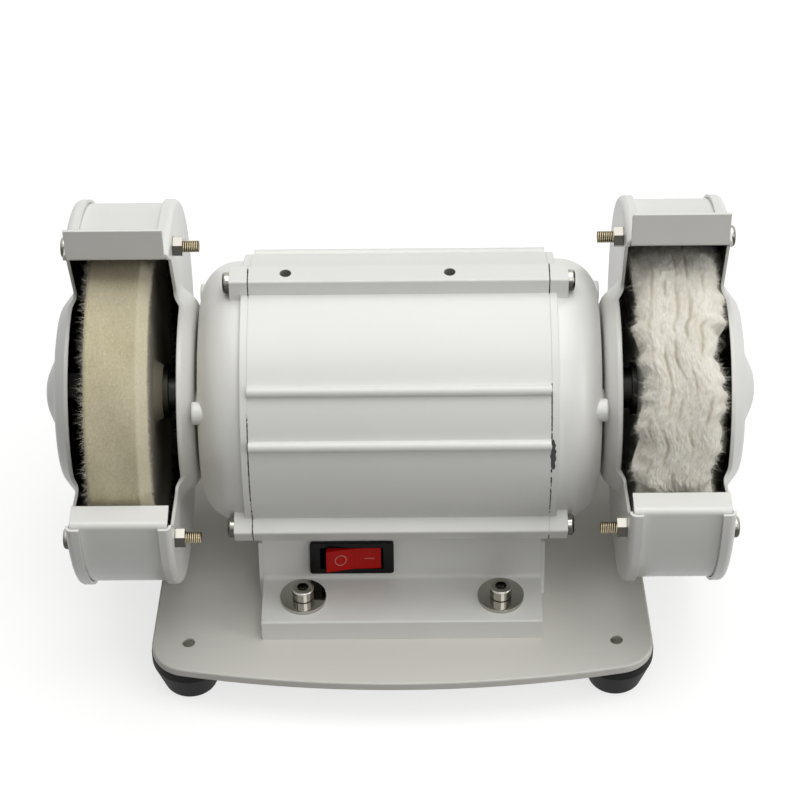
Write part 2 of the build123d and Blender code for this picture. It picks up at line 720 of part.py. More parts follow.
# Guards, wheel flanges and nuts on both shaft ends
for side, sx, opening in guard_sides:
    bolt_turns = [sx * guard_bolt_spread, -sx * guard_bolt_spread, 180]
    bolt_places = [
        (guard_bolt_pcd_r * cos(radians(turn)), guard_bolt_pcd_r * sin(radians(turn))) for turn in bolt_turns
    ]

    # Inner cover: dished towards the motor, lip turned over the band
    with BuildPart() as inner_cover:
        with BuildSketch(radial_plane(sx)):
            with BuildLine():
                FilletPolyline(
                    (dish_face_x + sheet_t / 2, shaft_hole_r),
                    (dish_face_x + sheet_t / 2, dish_top_r),
                    (guard_inner_x + sheet_t / 2, dish_base_r),
                    (guard_inner_x + sheet_t / 2, guard_r - sheet_t / 2),
                    (guard_inner_x + lip_w, guard_r - sheet_t / 2),
                    radius=(dish_round, dish_foot_round, rim_round - sheet_t / 2),
                )
            trace(line_width=sheet_t)
        revolve(axis=spin_axis)
        with BuildSketch(guard_plane(sx, dish_face_x - cut_over, opening)):
            add(mouth.sketch)
        extrude(amount=guard_outer_x, mode=Mode.SUBTRACT)
        with BuildSketch(guard_plane(sx, guard_inner_x, opening)):
            with Locations(*bolt_places):
                Circle(m4_r + seat_gap)
        extrude(amount=sheet_t, mode=Mode.SUBTRACT)
        with BuildSketch(end_plane(sx, dish_face_x)):
            with PolarLocations(boss_pcd_r, 3, 60):
                Circle(m4_r + seat_gap)
        extrude(amount=sheet_t, mode=Mode.SUBTRACT)
    inner_cover.part.label = f"guard_inner_cover_{side}"
    export_step(inner_cover.part, f"parts/guard_inner_cover_{side}.step")

    # Outer cover: the same rim, with a stepped dome over the arbor nut
    with BuildPart() as outer_cover:
        with BuildSketch(radial_plane(sx)):
            face_x = guard_outer_x - sheet_t / 2
            rounds = (dome_round, dome_foot_round, dish_round, dish_foot_round, rim_round - sheet_t / 2)
            with BuildLine():
                FilletPolyline(
                    (face_x + dome_depth, 0),
                    (face_x + dome_depth, dome_top_r),
                    (face_x + dome_base_depth, dome_base_r),
                    (face_x + outer_dish_depth, outer_dish_top_r),
                    (face_x, outer_dish_base_r),
                    (face_x, guard_r - sheet_t / 2),
                    (guard_outer_x - lip_w, guard_r - sheet_t / 2),
                    radius=rounds,
                )
            trace(line_width=sheet_t)
        revolve(axis=spin_axis)
        with BuildSketch(guard_plane(sx, guard_inner_x, opening)):
            add(mouth.sketch)
        extrude(amount=guard_outer_x, mode=Mode.SUBTRACT)
        with BuildSketch(guard_plane(sx, guard_outer_x, opening)):
            with Locations(*bolt_places):
                Circle(m4_r + seat_gap)
        extrude(amount=-sheet_t, mode=Mode.SUBTRACT)
    outer_cover.part.label = f"guard_outer_cover_{side}"
    export_step(outer_cover.part, f"parts/guard_outer_cover_{side}.step")

    # Band between the covers: upper end turned out as a visor, lower end turned in as a ledge
    upper = -sx * band_half
    visor_r = band_mid_r + visor_h
    ledge_r = band_mid_r - ledge_w
    bend_a = (band_mid_r * cos(radians(upper)), band_mid_r * sin(radians(upper)))
    bend_b = (band_mid_r * cos(radians(upper)), -band_mid_r * sin(radians(upper)))
    with BuildPart() as guard_band:
        with BuildSketch(guard_plane(sx, band_inner_x, opening)):
            with BuildLine() as strip:
                Line((visor_r * cos(radians(upper)), visor_r * sin(radians(upper))), bend_a)
                ThreePointArc(bend_a, (-band_mid_r, 0), bend_b)
                Line(bend_b, (ledge_r * cos(radians(upper)), -ledge_r * sin(radians(upper))))
                bends = strip.vertices().filter_by(lambda v: abs(hypot(v.X, v.Y) - band_mid_r) < band_gap)
                fillet(bends, bend_r)
            trace(line_width=band_t)
        extrude(amount=band_outer_x - band_inner_x)
    guard_band.part.label = f"guard_band_{side}"
    export_step(guard_band.part, f"parts/guard_band_{side}.step")

    # Long bolts through both covers, with nuts and bare thread on the motor side
    with BuildPart() as guard_bolts:
        with BuildSketch(guard_plane(sx, guard_outer_x, opening)):
            with Locations(*bolt_places):
                Circle(m4_head_r)
        extrude(amount=m4_head_h)
        head_rims = guard_bolts.faces().filter_by(Axis.X).group_by(Axis.X)[-1 if sx > 0 else 0]
        fillet(head_rims.edges(), m4_head_h / 2)
        with BuildSketch(guard_plane(sx, guard_outer_x, opening)):
            with Locations(*bolt_places):
                Circle(m4_r)
        extrude(amount=-(guard_outer_x - guard_inner_x + m4_nut_t + guard_bolt_tail))
        with BuildSketch(guard_plane(sx, guard_outer_x + m4_head_h, opening)):
            with Locations(*bolt_places):
                Rectangle(recess_l, recess_w)
                Rectangle(recess_w, recess_l)
        extrude(amount=-recess_depth, mode=Mode.SUBTRACT)
    guard_bolts.part.label = f"guard_bolts_{side}"
    export_step(guard_bolts.part, f"parts/guard_bolts_{side}.step")

    with BuildPart() as guard_nuts:
        with BuildSketch(guard_plane(sx, guard_inner_x, opening)):
            with Locations(*bolt_places):
                RegularPolygon(m4_nut_flats / 2, 6, major_radius=False)
                Circle(m4_r + screw_gap, mode=Mode.SUBTRACT)
        extrude(amount=-m4_nut_t)
    guard_nuts.part.label = f"guard_nuts_{side}"
    export_step(guard_nuts.part, f"parts/guard_nuts_{side}.step")

    # Screws that hold the inner cover on the bell's bosses
    with BuildPart() as mount_screws:
        with BuildSketch(end_plane(sx, dish_face_x + sheet_t)):
            with PolarLocations(boss_pcd_r, 3, 60):
                Circle(m4_head_r)
        extrude(amount=m4_head_h)
        with BuildSketch(end_plane(sx, dish_face_x + sheet_t)):
            with PolarLocations(boss_pcd_r, 3, 60):
                Circle(m4_r)
        extrude(amount=-(sheet_t + thread_depth))
    mount_screws.part.label = f"guard_mount_screws_{side}"
    export_step(mount_screws.part, f"parts/guard_mount_screws_{side}.step")

    # Inner sleeve with its shoulder against the wheel, outer flange and arbor nut
    with BuildPart() as inner_flange:
        with BuildSketch(radial_plane(sx)):
            Polygon(
                (bearing_out_x, bearing_bore_r + arbor_gap),
                (bearing_out_x, sleeve_r),
                (wheel_inner_x - shoulder_t, sleeve_r),
                (wheel_inner_x - shoulder_t, shoulder_r),
                (wheel_inner_x, shoulder_r),
                (wheel_inner_x, bearing_bore_r + arbor_gap),
                align=None,
            )
        revolve(axis=spin_axis)
    inner_flange.part.label = f"inner_flange_{side}"
    export_step(inner_flange.part, f"parts/inner_flange_{side}.step")

    with BuildPart() as outer_flange:
        with BuildSketch(end_plane(sx, wheel_outer_x)):
            Circle(flange_r)
            Circle(thread_r + arbor_gap, mode=Mode.SUBTRACT)
        extrude(amount=flange_plate_t)
    outer_flange.part.label = f"outer_flange_{side}"
    export_step(outer_flange.part, f"parts/outer_flange_{side}.step")

    with BuildPart() as arbor_nut:
        with BuildSketch(end_plane(sx, flange_outer_x)):
            RegularPolygon(nut_flats / 2, 6, major_radius=False)
            Circle(thread_r + arbor_gap, mode=Mode.SUBTRACT)
        extrude(amount=nut_t)
    arbor_nut.part.label = f"arbor_nut_{side}"
    export_step(arbor_nut.part, f"parts/arbor_nut_{side}.step")

# Felt wheel on the left end, bevelled on its motor side
with BuildPart() as felt_wheel:
    with BuildSketch(radial_plane(-1)):
        Polygon(
            (wheel_inner_x, bearing_bore_r + arbor_gap),
            (wheel_inner_x, wheel_r - felt_bevel),
            (wheel_inner_x + felt_bevel, wheel_r),
            (wheel_outer_x - felt_edge, wheel_r),
            (wheel_outer_x, wheel_r - felt_edge),
            (wheel_outer_x, bearing_bore_r + arbor_gap),
            align=None,
        )
    revolve(axis=spin_axis)
felt_wheel.part.label = "felt_wheel"
export_step(felt_wheel.part, "parts/felt_wheel.step")

# Cotton buff on the right end: a clamped core that spreads into a pleated rim
with BuildPart() as cotton_buff:
    with BuildSketch(radial_plane(1)) as buff_sketch:
        Polygon(
            (wheel_inner_x, bearing_bore_r + arbor_gap),
            (wheel_inner_x, buff_core_r),
            (buff_inner_x, buff_flare_r),
            (buff_inner_x, wheel_r),
            (buff_outer_x, wheel_r),
            (buff_outer_x, buff_flare_r),
            (wheel_outer_x, buff_core_r),
            (wheel_outer_x, bearing_bore_r + arbor_gap),
            align=None,
        )
        fillet(buff_sketch.vertices().group_by(Axis.Y)[-1], buff_round)
    revolve(axis=spin_axis)
    with BuildSketch(end_plane(1, buff_inner_x)):
        with PolarLocations(wheel_r, pleat_count):
            Rectangle(2 * pleat_depth, pleat_w)
    extrude(amount=buff_outer_x - buff_inner_x, mode=Mode.SUBTRACT)
cotton_buff.part.label = "cotton_buff"
export_step(cotton_buff.part, "parts/cotton_buff.step")

# Rocker switch in the front wall: frame and body with a well for the rocker
switch_plane = wall_plane(-1, switch_x, switch_up)
pivot_origin = switch_plane.origin - switch_plane.z_dir * pivot_depth
with BuildPart() as switch_housing:
    with BuildSketch(switch_plane):
        RectangleRounded(bezel_l, bezel_w, bezel_round)
    extrude(amount=bezel_t)
    with BuildSketch(switch_plane):
        Rectangle(body_l, body_w)
    extrude(amount=-body_depth)
    with BuildSketch(switch_plane.offset(bezel_t)):
        Rectangle(window_l, window_w)
    extrude(amount=-(bezel_t + window_depth), mode=Mode.SUBTRACT)
    with BuildSketch(Plane(pivot_origin, x_dir=switch_plane.x_dir, z_dir=switch_plane.y_dir)):
        Circle(pivot_r + screw_gap)
    extrude(amount=body_w / 2, both=True, mode=Mode.SUBTRACT)
switch_housing.part.label = "switch_housing"
export_step(switch_housing.part, "parts/switch_housing.step")

# Rocker, lying on its right-hand side, with a pivot pin at each long edge
rocker_lean = radians(rocker_tilt)
rocker_x = switch_plane.x_dir * cos(rocker_lean) - switch_plane.z_dir * sin(rocker_lean)
rocker_plane = Plane(pivot_origin, x_dir=rocker_x, z_dir=-switch_plane.y_dir)
with BuildPart() as switch_rocker:
    with BuildSketch(rocker_plane):
        Polygon(
            (-rocker_l / 2, rocker_edge_h),
            (-rocker_l / 2 + rocker_draft, -rocker_root),
            (rocker_l / 2 - rocker_draft, -rocker_root),
            (rocker_l / 2, rocker_edge_h),
            (0, rocker_mid_h),
            align=None,
        )
    extrude(amount=window_w / 2 - rocker_gap, both=True)
    with BuildSketch(rocker_plane):
        Circle(pivot_r)
    extrude(amount=window_w / 2 + pivot_len, both=True)
switch_rocker.part.label = "switch_rocker"
export_step(switch_rocker.part, "parts/switch_rocker.step")

with BuildPart() as switch_blades:
    with BuildSketch(switch_plane.offset(-body_depth)):
        with GridLocations(blade_pitch, 0, block_poles, 1):
            Rectangle(blade_t, blade_w)
    extrude(amount=-blade_l)
switch_blades.part.label = "switch_blades"
export_step(switch_blades.part, "parts/switch_blades.step")

# Run capacitor on the plate, under its strap
with BuildPart() as run_capacitor:
    with BuildSketch(Plane.XY.offset(plate_top)):
        with Locations((capacitor_x, capacitor_y)):
            RectangleRounded(capacitor_l, capacitor_w, capacitor_round)
    extrude(amount=capacitor_h)
run_capacitor.part.label = "run_capacitor"
export_step(run_capacitor.part, "parts/run_capacitor.step")

with BuildPart() as capacitor_strap:
    strap_half = capacitor_w / 2 + screw_gap
    strap_top = plate_top + capacitor_h + screw_gap
    with BuildSketch(Plane(origin=(capacitor_x, capacitor_y, 0), x_dir=(0, 1, 0), z_dir=(1, 0, 0))):
        Polygon(
            (strap_half, plate_top),
            (strap_half, strap_top),
            (-strap_half, strap_top),
            (-strap_half, plate_top),
            (-strap_half - clip_foot, plate_top),
            (-strap_half - clip_foot, plate_top + clip_t),
            (-strap_half - clip_t, plate_top + clip_t),
            (-strap_half - clip_t, strap_top + clip_t),
            (strap_half + clip_t, strap_top + clip_t),
            (strap_half + clip_t, plate_top + clip_t),
            (strap_half + clip_foot, plate_top + clip_t),
            (strap_half + clip_foot, plate_top),
            align=None,
        )
    extrude(amount=clip_w / 2, both=True)
capacitor_strap.part.label = "capacitor_strap"
export_step(capacitor_strap.part, "parts/capacitor_strap.step")

# Terminal block with a screw well at each pole
with BuildPart() as terminal_block:
    with BuildSketch(Plane.XY.offset(plate_top)):
        with Locations((block_x, block_y)):
            Rectangle(block_l, block_w)
    extrude(amount=block_h)
    with BuildSketch(Plane.XY.offset(plate_top + block_h)):
        with Locations((block_x, block_y)):
            with GridLocations(block_l / block_poles, 0, block_poles, 1):
                Circle(block_well_r)
    extrude(amount=-block_h / 2, mode=Mode.SUBTRACT)
terminal_block.part.label = "terminal_block"
export_step(terminal_block.part, "parts/terminal_block.step")

# Cable gland through the rear wall, and its lock nut inside
gland_plane = wall_plane(1, gland_x, gland_up)
with BuildPart() as cable_gland:
    with BuildSketch(gland_plane):
        RegularPolygon(gland_hex / 2, 6, major_radius=False)
    extrude(amount=gland_hex_t)
    with BuildSketch(gland_plane.offset(gland_hex_t)):
        Circle(gland_dome_r)
    extrude(amount=gland_dome_h)
    with BuildSketch(gland_plane):
        Circle(gland_r)
    extrude(amount=-(wall_t + gland_nut_t + bolt_tail))
    with BuildSketch(gland_plane.offset(gland_hex_t + gland_dome_h)):
        Circle(gland_bore_r)
    extrude(amount=-(gland_hex_t + gland_dome_h + wall_t + gland_nut_t + bolt_tail), mode=Mode.SUBTRACT)
cable_gland.part.label = "cable_gland"
export_step(cable_gland.part, "parts/cable_gland.step")

with BuildPart() as gland_nut:
    with BuildSketch(gland_plane.offset(-wall_t)):
        RegularPolygon(gland_hex / 2, 6, major_radius=False)
        Circle(gland_r + screw_gap, mode=Mode.SUBTRACT)
    extrude(amount=-gland_nut_t)
gland_nut.part.label = "gland_nut"
export_step(gland_nut.part, "parts/gland_nut.step")
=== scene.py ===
import json
import math

import bpy
import numpy as np
from mathutils import Matrix, Vector


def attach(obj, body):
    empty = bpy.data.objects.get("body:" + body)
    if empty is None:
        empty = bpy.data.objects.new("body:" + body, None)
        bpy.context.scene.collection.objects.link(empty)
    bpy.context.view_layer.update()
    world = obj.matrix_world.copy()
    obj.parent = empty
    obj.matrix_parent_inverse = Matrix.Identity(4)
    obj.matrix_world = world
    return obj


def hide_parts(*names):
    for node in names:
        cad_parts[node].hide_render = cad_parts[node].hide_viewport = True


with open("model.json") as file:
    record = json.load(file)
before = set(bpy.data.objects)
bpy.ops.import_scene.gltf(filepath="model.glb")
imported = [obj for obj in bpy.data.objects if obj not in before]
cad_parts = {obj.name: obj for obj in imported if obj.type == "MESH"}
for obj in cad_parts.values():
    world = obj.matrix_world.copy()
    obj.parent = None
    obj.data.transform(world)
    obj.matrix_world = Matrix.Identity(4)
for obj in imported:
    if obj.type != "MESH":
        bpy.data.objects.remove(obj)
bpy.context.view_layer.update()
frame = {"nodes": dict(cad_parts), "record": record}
nodes = frame["nodes"]
scene = bpy.context.scene
scene.view_settings.view_transform = "Standard"

AXIS_Z = 0.101
TURN = 2 * math.pi

# Felt wheel: radius, faces along the shaft, the motor-side face at the hub and in the dish around it, width and drop
# of the bevel on that side
FELT_R = 0.0599
FELT_IN, FELT_OUT = -0.0921, -0.1154
FELT_HUB, FELT_DISH = -0.0907, -0.0942
FELT_BEVEL, FELT_DROP = 0.0039, 0.0034

# Camera: the photograph's view, with its small yaw and roll
CAMERA_AT = Vector((0.00759, -0.81535, 0.83395))
CAMERA_TO = Vector((-0.00011, 0.0, 0.09561))
CAMERA_ROLL = math.radians(-0.81)
CAMERA_LENS, CAMERA_SENSOR = 128.2, 36.0


def place_camera():
    """Right-handed camera axes: forward to the target, then turned about forward by the roll."""
    forward = (CAMERA_TO - CAMERA_AT).normalized()
    level = forward.cross(Vector((0, 0, 1))).normalized()
    rise = level.cross(forward)
    right = level * math.cos(CAMERA_ROLL) + rise * math.sin(CAMERA_ROLL)
    up = rise * math.cos(CAMERA_ROLL) - level * math.sin(CAMERA_ROLL)
    data = bpy.data.cameras.new("photo_camera")
    data.lens = CAMERA_LENS
    data.sensor_width = CAMERA_SENSOR
    camera = bpy.data.objects.new("photo_camera", data)
    turn = Matrix((right, up, -forward)).transposed().to_4x4()
    camera.matrix_world = Matrix.Translation(CAMERA_AT) @ turn
    scene.collection.objects.link(camera)
    scene.camera = camera


place_camera()


def add_node(tree, kind, inputs=None, **settings):
    """One shader node with its settings; an input value is a number, a colour or a socket to link."""
    node = tree.nodes.new(kind)
    for name, value in settings.items():
        setattr(node, name, value)
    for name, value in (inputs or {}).items():
        if isinstance(value, bpy.types.NodeSocket):
            tree.links.new(value, node.inputs[name])
        else:
            node.inputs[name].default_value = value
    return node


def math_node(tree, operation, *values):
    """A Math node's result."""
    return add_node(tree, "ShaderNodeMath", dict(enumerate(values)), operation=operation).outputs[0]


def vector_node(tree, operation, *values):
    """A Vector Math node's outputs."""
    return add_node(tree, "ShaderNodeVectorMath", dict(enumerate(values)), operation=operation).outputs


def ramp(tree, value, low, high):
    """Smooth step from 0 at low to 1 at high."""
    inputs = {"Value": value, "From Min": low, "From Max": high}
    return add_node(tree, "ShaderNodeMapRange", inputs, interpolation_type="SMOOTHSTEP").outputs["Result"]


def mix_colour(tree, share, first, second):
    """Colour mix by a share from 0 to 1."""
    inputs = {0: share, 6: first, 7: second}
    return add_node(tree, "ShaderNodeMix", inputs, data_type="RGBA").outputs[2]


def noise(tree, vector, scale, detail=3.0, roughness=0.5):
    """Noise value at a scale in cycles per metre."""
    inputs = {"Vector": vector, "Scale": scale, "Detail": detail, "Roughness": roughness}
    return add_node(tree, "ShaderNodeTexNoise", inputs).outputs["Fac"]


def new_group(name, inputs, outputs):
    """Empty shader group with named sockets, its input node and its output node."""
    tree = bpy.data.node_groups.new(name, "ShaderNodeTree")
    for label, (kind, value) in inputs.items():
        socket = tree.interface.new_socket(label, in_out="INPUT", socket_type=kind)
        socket.default_value = value
    for label, kind in outputs.items():
        tree.interface.new_socket(label, in_out="OUTPUT", socket_type=kind)
    return tree, tree.nodes.new("NodeGroupInput"), tree.nodes.new("NodeGroupOutput")


FLOAT = "NodeSocketFloat"
COLOUR = "NodeSocketColor"
VECTOR = "NodeSocketVector"

# Noise in the finishes, in cycles per metre
CLOUD_SCALE, SMEAR_SCALE = 38.0, 90.0
FLECK_SCALE, BRIDGE_SCALE = 520.0, 48.0
BLOTCH_SCALE, FUZZ_SCALE = 700.0, 2600.0


def build_surface_group():
    """Coat of paint, plating or moulding: soft cloudy tone, fine grain in the gloss and the relief,
    and edges that turn the light over a small radius."""
    tree, given, out = new_group(
        "surface_grain",
        {
            "Colour": (COLOUR, (0.8, 0.8, 0.8, 1)),
            "Cloud": (FLOAT, 0.04),
            "Gloss": (FLOAT, 0.3),
            "Gloss Spread": (FLOAT, 0.08),
            "Grain Scale": (FLOAT, 900.0),
            "Grain Height": (FLOAT, 0.00002),
            "Edge Radius": (FLOAT, 0.0004),
        },
        {"Colour": COLOUR, "Roughness": FLOAT, "Normal": VECTOR},
    )
    place = add_node(tree, "ShaderNodeTexCoord").outputs["Object"]
    cloud = noise(tree, place, CLOUD_SCALE, 4.0)
    spread = math_node(tree, "MULTIPLY_ADD", cloud, 2.0, -1.0)
    shade = math_node(tree, "MULTIPLY_ADD", spread, given.outputs["Cloud"], 1.0)
    shaded = {0: given.outputs["Colour"], "Scale": shade}
    colour = add_node(tree, "ShaderNodeVectorMath", shaded, operation="SCALE")
    tree.links.new(colour.outputs[0], out.inputs["Colour"])
    grain = noise(tree, place, given.outputs["Grain Scale"], 2.0)
    smear = math_node(tree, "SUBTRACT", noise(tree, place, SMEAR_SCALE, 5.0, 0.65), 0.5)
    gloss = math_node(tree, "MULTIPLY_ADD", smear, given.outputs["Gloss Spread"], given.outputs["Gloss"])
    tree.links.new(gloss, out.inputs["Roughness"])
    edge = add_node(tree, "ShaderNodeBevel", {"Radius": given.outputs["Edge Radius"]}, samples=4)
    bump = add_node(
        tree,
        "ShaderNodeBump",
        {"Height": grain, "Normal": edge.outputs[0], "Strength": 1.0, "Distance": given.outputs["Grain Height"]},
    )
    tree.links.new(bump.outputs[0], out.inputs["Normal"])
    return tree


# Heights between which the paint bridges the joint most, on the shoulders under the top ridge, and where the chip
# ends, counted in its half sizes with the flecks added
SHOULDER_FROM, SHOULDER_FULL = 0.126, 0.150
SHOULDER_END, SHOULDER_TO = 0.152, 0.156
CHIP_EDGE = 1.45


def build_seam_group():
    """Bare joint between shell and bell: a hairline at |x| = Place that breaks up where the paint bridges it, most
    of all on the shoulders under the top ridge, and one wider chip whose centre and half sizes are given."""
    tree, given, out = new_group(
        "seam_line",
        {
            "Place": (FLOAT, 0.056),
            "Width": (FLOAT, 0.0002),
            "Break": (FLOAT, 0.5),
            "Chip Centre": (VECTOR, (0.0, 0.0, 0.0)),
            "Chip Half": (VECTOR, (0.001, 0.001, 0.001)),
        },
        {"Mask": FLOAT},
    )
    place = add_node(tree, "ShaderNodeTexCoord").outputs["Object"]
    spot = add_node(tree, "ShaderNodeSeparateXYZ", {0: place})
    along = math_node(tree, "ABSOLUTE", spot.outputs["X"])
    away = math_node(tree, "ABSOLUTE", math_node(tree, "SUBTRACT", along, given.outputs["Place"]))
    height = spot.outputs["Z"]
    shoulder = math_node(
        tree,
        "MULTIPLY",
        ramp(tree, height, SHOULDER_FROM, SHOULDER_FULL),
        ramp(tree, height, SHOULDER_TO, SHOULDER_END),
    )
    flecks = noise(tree, place, FLECK_SCALE, 3.0, 0.6)
    reach = math_node(tree, "MULTIPLY", given.outputs["Width"], math_node(tree, "MULTIPLY_ADD", flecks, 2.0, 0.1))
    near = math_node(tree, "LESS_THAN", away, reach)
    patches = math_node(tree, "MULTIPLY_ADD", flecks, 0.45, noise(tree, place, BRIDGE_SCALE, 2.0))
    held = math_node(tree, "MULTIPLY_ADD", shoulder, 0.3, given.outputs["Break"])
    bare = math_node(tree, "GREATER_THAN", patches, held)
    offset = vector_node(tree, "SUBTRACT", place, given.outputs["Chip Centre"])[0]
    scaled = vector_node(tree, "DIVIDE", offset, given.outputs["Chip Half"])[0]
    far = math_node(tree, "MULTIPLY_ADD", flecks, 1.1, vector_node(tree, "LENGTH", scaled)[1])
    chip = math_node(tree, "LESS_THAN", far, CHIP_EDGE)
    line = math_node(tree, "MULTIPLY", near, bare)
    tree.links.new(math_node(tree, "MAXIMUM", line, chip), out.inputs["Mask"])
    return tree


# Colour of the painted shade on plated faces that don't look up
PAINTED_SHADE_DARK = (0.07, 0.068, 0.06, 1)


def build_painted_shade_group():
    """Painted shade: plated faces that don't look up turn dark, from the piece's own normal."""
    tree, given, out = new_group("underside_painted_shade", {"Colour": (COLOUR, (0.5, 0.5, 0.5, 1))}, {"Colour": COLOUR})
    coord = add_node(tree, "ShaderNodeTexCoord")
    rise = add_node(tree, "ShaderNodeSeparateXYZ", {0: coord.outputs["Normal"]}).outputs["Z"]
    blotch = math_node(tree, "MULTIPLY_ADD", noise(tree, coord.outputs["Object"], BLOTCH_SCALE), 0.3, rise)
    # Painted shade: the further the normal turns from up, the darker
    under = ramp(tree, blotch, 1.05, 0.5)
    tree.links.new(mix_colour(tree, under, given.outputs["Colour"], PAINTED_SHADE_DARK), out.inputs["Colour"])
    return tree


def build_wool_group():
    """Pressed or carded fibre: soft patches and short fibres drawn out along the wheel's turn."""
    tree, given, out = new_group(
        "wool_fibre",
        {
            "Dark": (COLOUR, (0.5, 0.4, 0.3, 1)),
            "Light": (COLOUR, (0.8, 0.7, 0.6, 1)),
            "Along": (FLOAT, 500.0),
            "Across": (FLOAT, 1500.0),
            "Patch Scale": (FLOAT, 70.0),
            "Height": (FLOAT, 0.0001),
        },
        {"Colour": COLOUR, "Normal": VECTOR},
    )
    coord = add_node(tree, "ShaderNodeTexCoord")
    uv = add_node(tree, "ShaderNodeSeparateXYZ", {0: coord.outputs["UV"]})
    drawn = add_node(
        tree,
        "ShaderNodeCombineXYZ",
        {
            "X": math_node(tree, "MULTIPLY", uv.outputs["X"], given.outputs["Along"]),
            "Y": math_node(tree, "MULTIPLY", uv.outputs["Y"], given.outputs["Across"]),
        },
    )
    fibre = noise(tree, drawn.outputs[0], 1.0, 4.0, 0.6)
    patch = noise(tree, coord.outputs["Object"], given.outputs["Patch Scale"], 3.0, 0.6)
    fuzz = noise(tree, coord.outputs["Object"], FUZZ_SCALE, 2.0, 0.6)
    share = math_node(tree, "MULTIPLY_ADD", fibre, 0.55, math_node(tree, "MULTIPLY", patch, 0.45))
    colour = mix_colour(tree, ramp(tree, share, 0.3, 0.7), given.outputs["Dark"], given.outputs["Light"])
    tree.links.new(colour, out.inputs["Colour"])
    nap = math_node(tree, "MULTIPLY_ADD", fuzz, 0.6, fibre)
    bump = add_node(
        tree, "ShaderNodeBump", {"Height": nap, "Strength": 1.0, "Distance": given.outputs["Height"]}
    )
    tree.links.new(bump.outputs[0], out.inputs["Normal"])
    return tree


GRAIN = build_surface_group()
SEAM = build_seam_group()
PAINTED_SHADE = build_painted_shade_group()
WOOL = build_wool_group()


def new_material(name, **principled):
    """Material with one Principled shader; returns the material, its tree and the shader."""
    material = bpy.data.materials.new(name)
    material.use_nodes = True
    tree = material.node_tree
    shader = tree.nodes["Principled BSDF"]
    for label, value in principled.items():
        shader.inputs[label.replace("_", " ")].default_value = value
    return material, tree, shader


def use_group(tree, group, **values):
    """The group placed in a material with its own values."""
    node = tree.nodes.new("ShaderNodeGroup")
    node.node_tree = group
    for label, value in values.items():
        socket = node.inputs[label.replace("_", " ")]
        if isinstance(value, bpy.types.NodeSocket):
            tree.links.new(value, socket)
        else:
            socket.default_value = value
    return node


def grained(name, colour, cloud, gloss, spread, scale, height, edge, **principled):
    """Principled material whose colour, roughness and normal come from the surface grain."""
    material, tree, shader = new_material(name, **principled)
    grain = use_group(
        tree,
        GRAIN,
        Colour=(*colour, 1),
        Cloud=cloud,
        Gloss=gloss,
        Gloss_Spread=spread,
        Grain_Scale=scale,
        Grain_Height=height,
        Edge_Radius=edge,
    )
    tree.links.new(grain.outputs["Colour"], shader.inputs["Base Color"])
    tree.links.new(grain.outputs["Roughness"], shader.inputs["Roughness"])
    tree.links.new(grain.outputs["Normal"], shader.inputs["Normal"])
    return material, tree, shader, grain.outputs["Colour"]


def metal(*values):
    """Bare metal."""
    return grained(*values, Metallic=1.0)[0]


def dull(*values):
    """Moulded plastic or rubber that mirrors little of the room."""
    return grained(*values, Specular_IOR_Level=0.12)[0]


WHITE = (0.80, 0.80, 0.775)
INSIDE_BLACK = (0.008, 0.008, 0.007, 1)
BARE_JOINT = (0.012, 0.012, 0.012, 1)
# Painted shade in the tapped holes on top
HOLE_SHADE = (0.035, 0.034, 0.03, 1)
# Painted shade in the pedestal bolts' sockets and in the joint under their heads
SOCKET_SHADE = (0.01, 0.01, 0.009, 1)
# Painted shade in the threads' grooves
GROOVE_SHADE = (0.02, 0.018, 0.012, 1)
# Painted highlight on the felt's bevel towards the motor
FELT_HIGHLIGHT = (0.74, 0.72, 0.60, 1)
# Painted shade down in the cotton's furrows
FURROW_SHADE = (0.50, 0.45, 0.34, 1)
NICKEL = (0.44, 0.43, 0.395)
DARK_NICKEL = (0.25, 0.24, 0.215)
ZINC = (0.52, 0.44, 0.29)

# Guards: where the black inside ends on the covers and begins on the band, measured from the shaft
COVER_WHITE, COVER_BLACK = 0.0726, 0.0722
BAND_WHITE, BAND_BLACK = 0.0685, 0.0700

# Tapped holes in the top ridge: middle of the pair, half their distance, radius of the painted shade in them and of
# the white around
TAPPED_MID, TAPPED_HALF = -0.0115, 0.0305
TAPPED_SHADE_R, TAPPED_WHITE_R = 0.0020, 0.00225

# Pedestal bolts: place of one of the four, radii of the painted shade in its socket, and the heights of the painted
# shade in the joint between head and washer
SOCKET_AT = (0.0385, 0.043)
SOCKET_SHADE_FULL, SOCKET_SHADE_CLEAR = 0.0022, 0.0025
WASHER_TOP, JOINT_SHADE_FULL, JOINT_SHADE_CLEAR = 0.0320, 0.00035, 0.00045
JOINT_SHADE_START = 0.00005

# Guard bolts: where the pan head begins along the shaft
PAN_HEAD_FROM = 0.1225


def white_paint(name):
    """Smooth semi-gloss white enamel."""
    return grained(name, WHITE, 0.018, 0.36, 0.10, 700.0, 0.000006, 0.0005, Coat_Weight=0.1, Coat_Roughness=0.15)


def from_shaft(tree, place):
    """Vector from the shaft's axis straight out to a place, and its length."""
    spoke = vector_node(tree, "MULTIPLY", vector_node(tree, "SUBTRACT", place, (0, 0, AXIS_Z))[0], (0, 1, 1))[0]
    return spoke, vector_node(tree, "LENGTH", spoke)[1]


def guard_paint(name, facing):
    """White outside, black inside the band on the faces whose x normal points the facing way, towards the wheel."""
    material, tree, shader, colour = white_paint(name)
    coord = add_node(tree, "ShaderNodeTexCoord")
    across = add_node(tree, "ShaderNodeSeparateXYZ", {0: coord.outputs["Normal"]}).outputs["X"]
    towards = ramp(tree, math_node(tree, "MULTIPLY", across, facing), 0.35, 0.45)
    within = ramp(tree, from_shaft(tree, coord.outputs["Object"])[1], COVER_WHITE, COVER_BLACK)
    inside = math_node(tree, "MULTIPLY", towards, within)
    tree.links.new(mix_colour(tree, inside, colour, INSIDE_BLACK), shader.inputs["Base Color"])
    return material


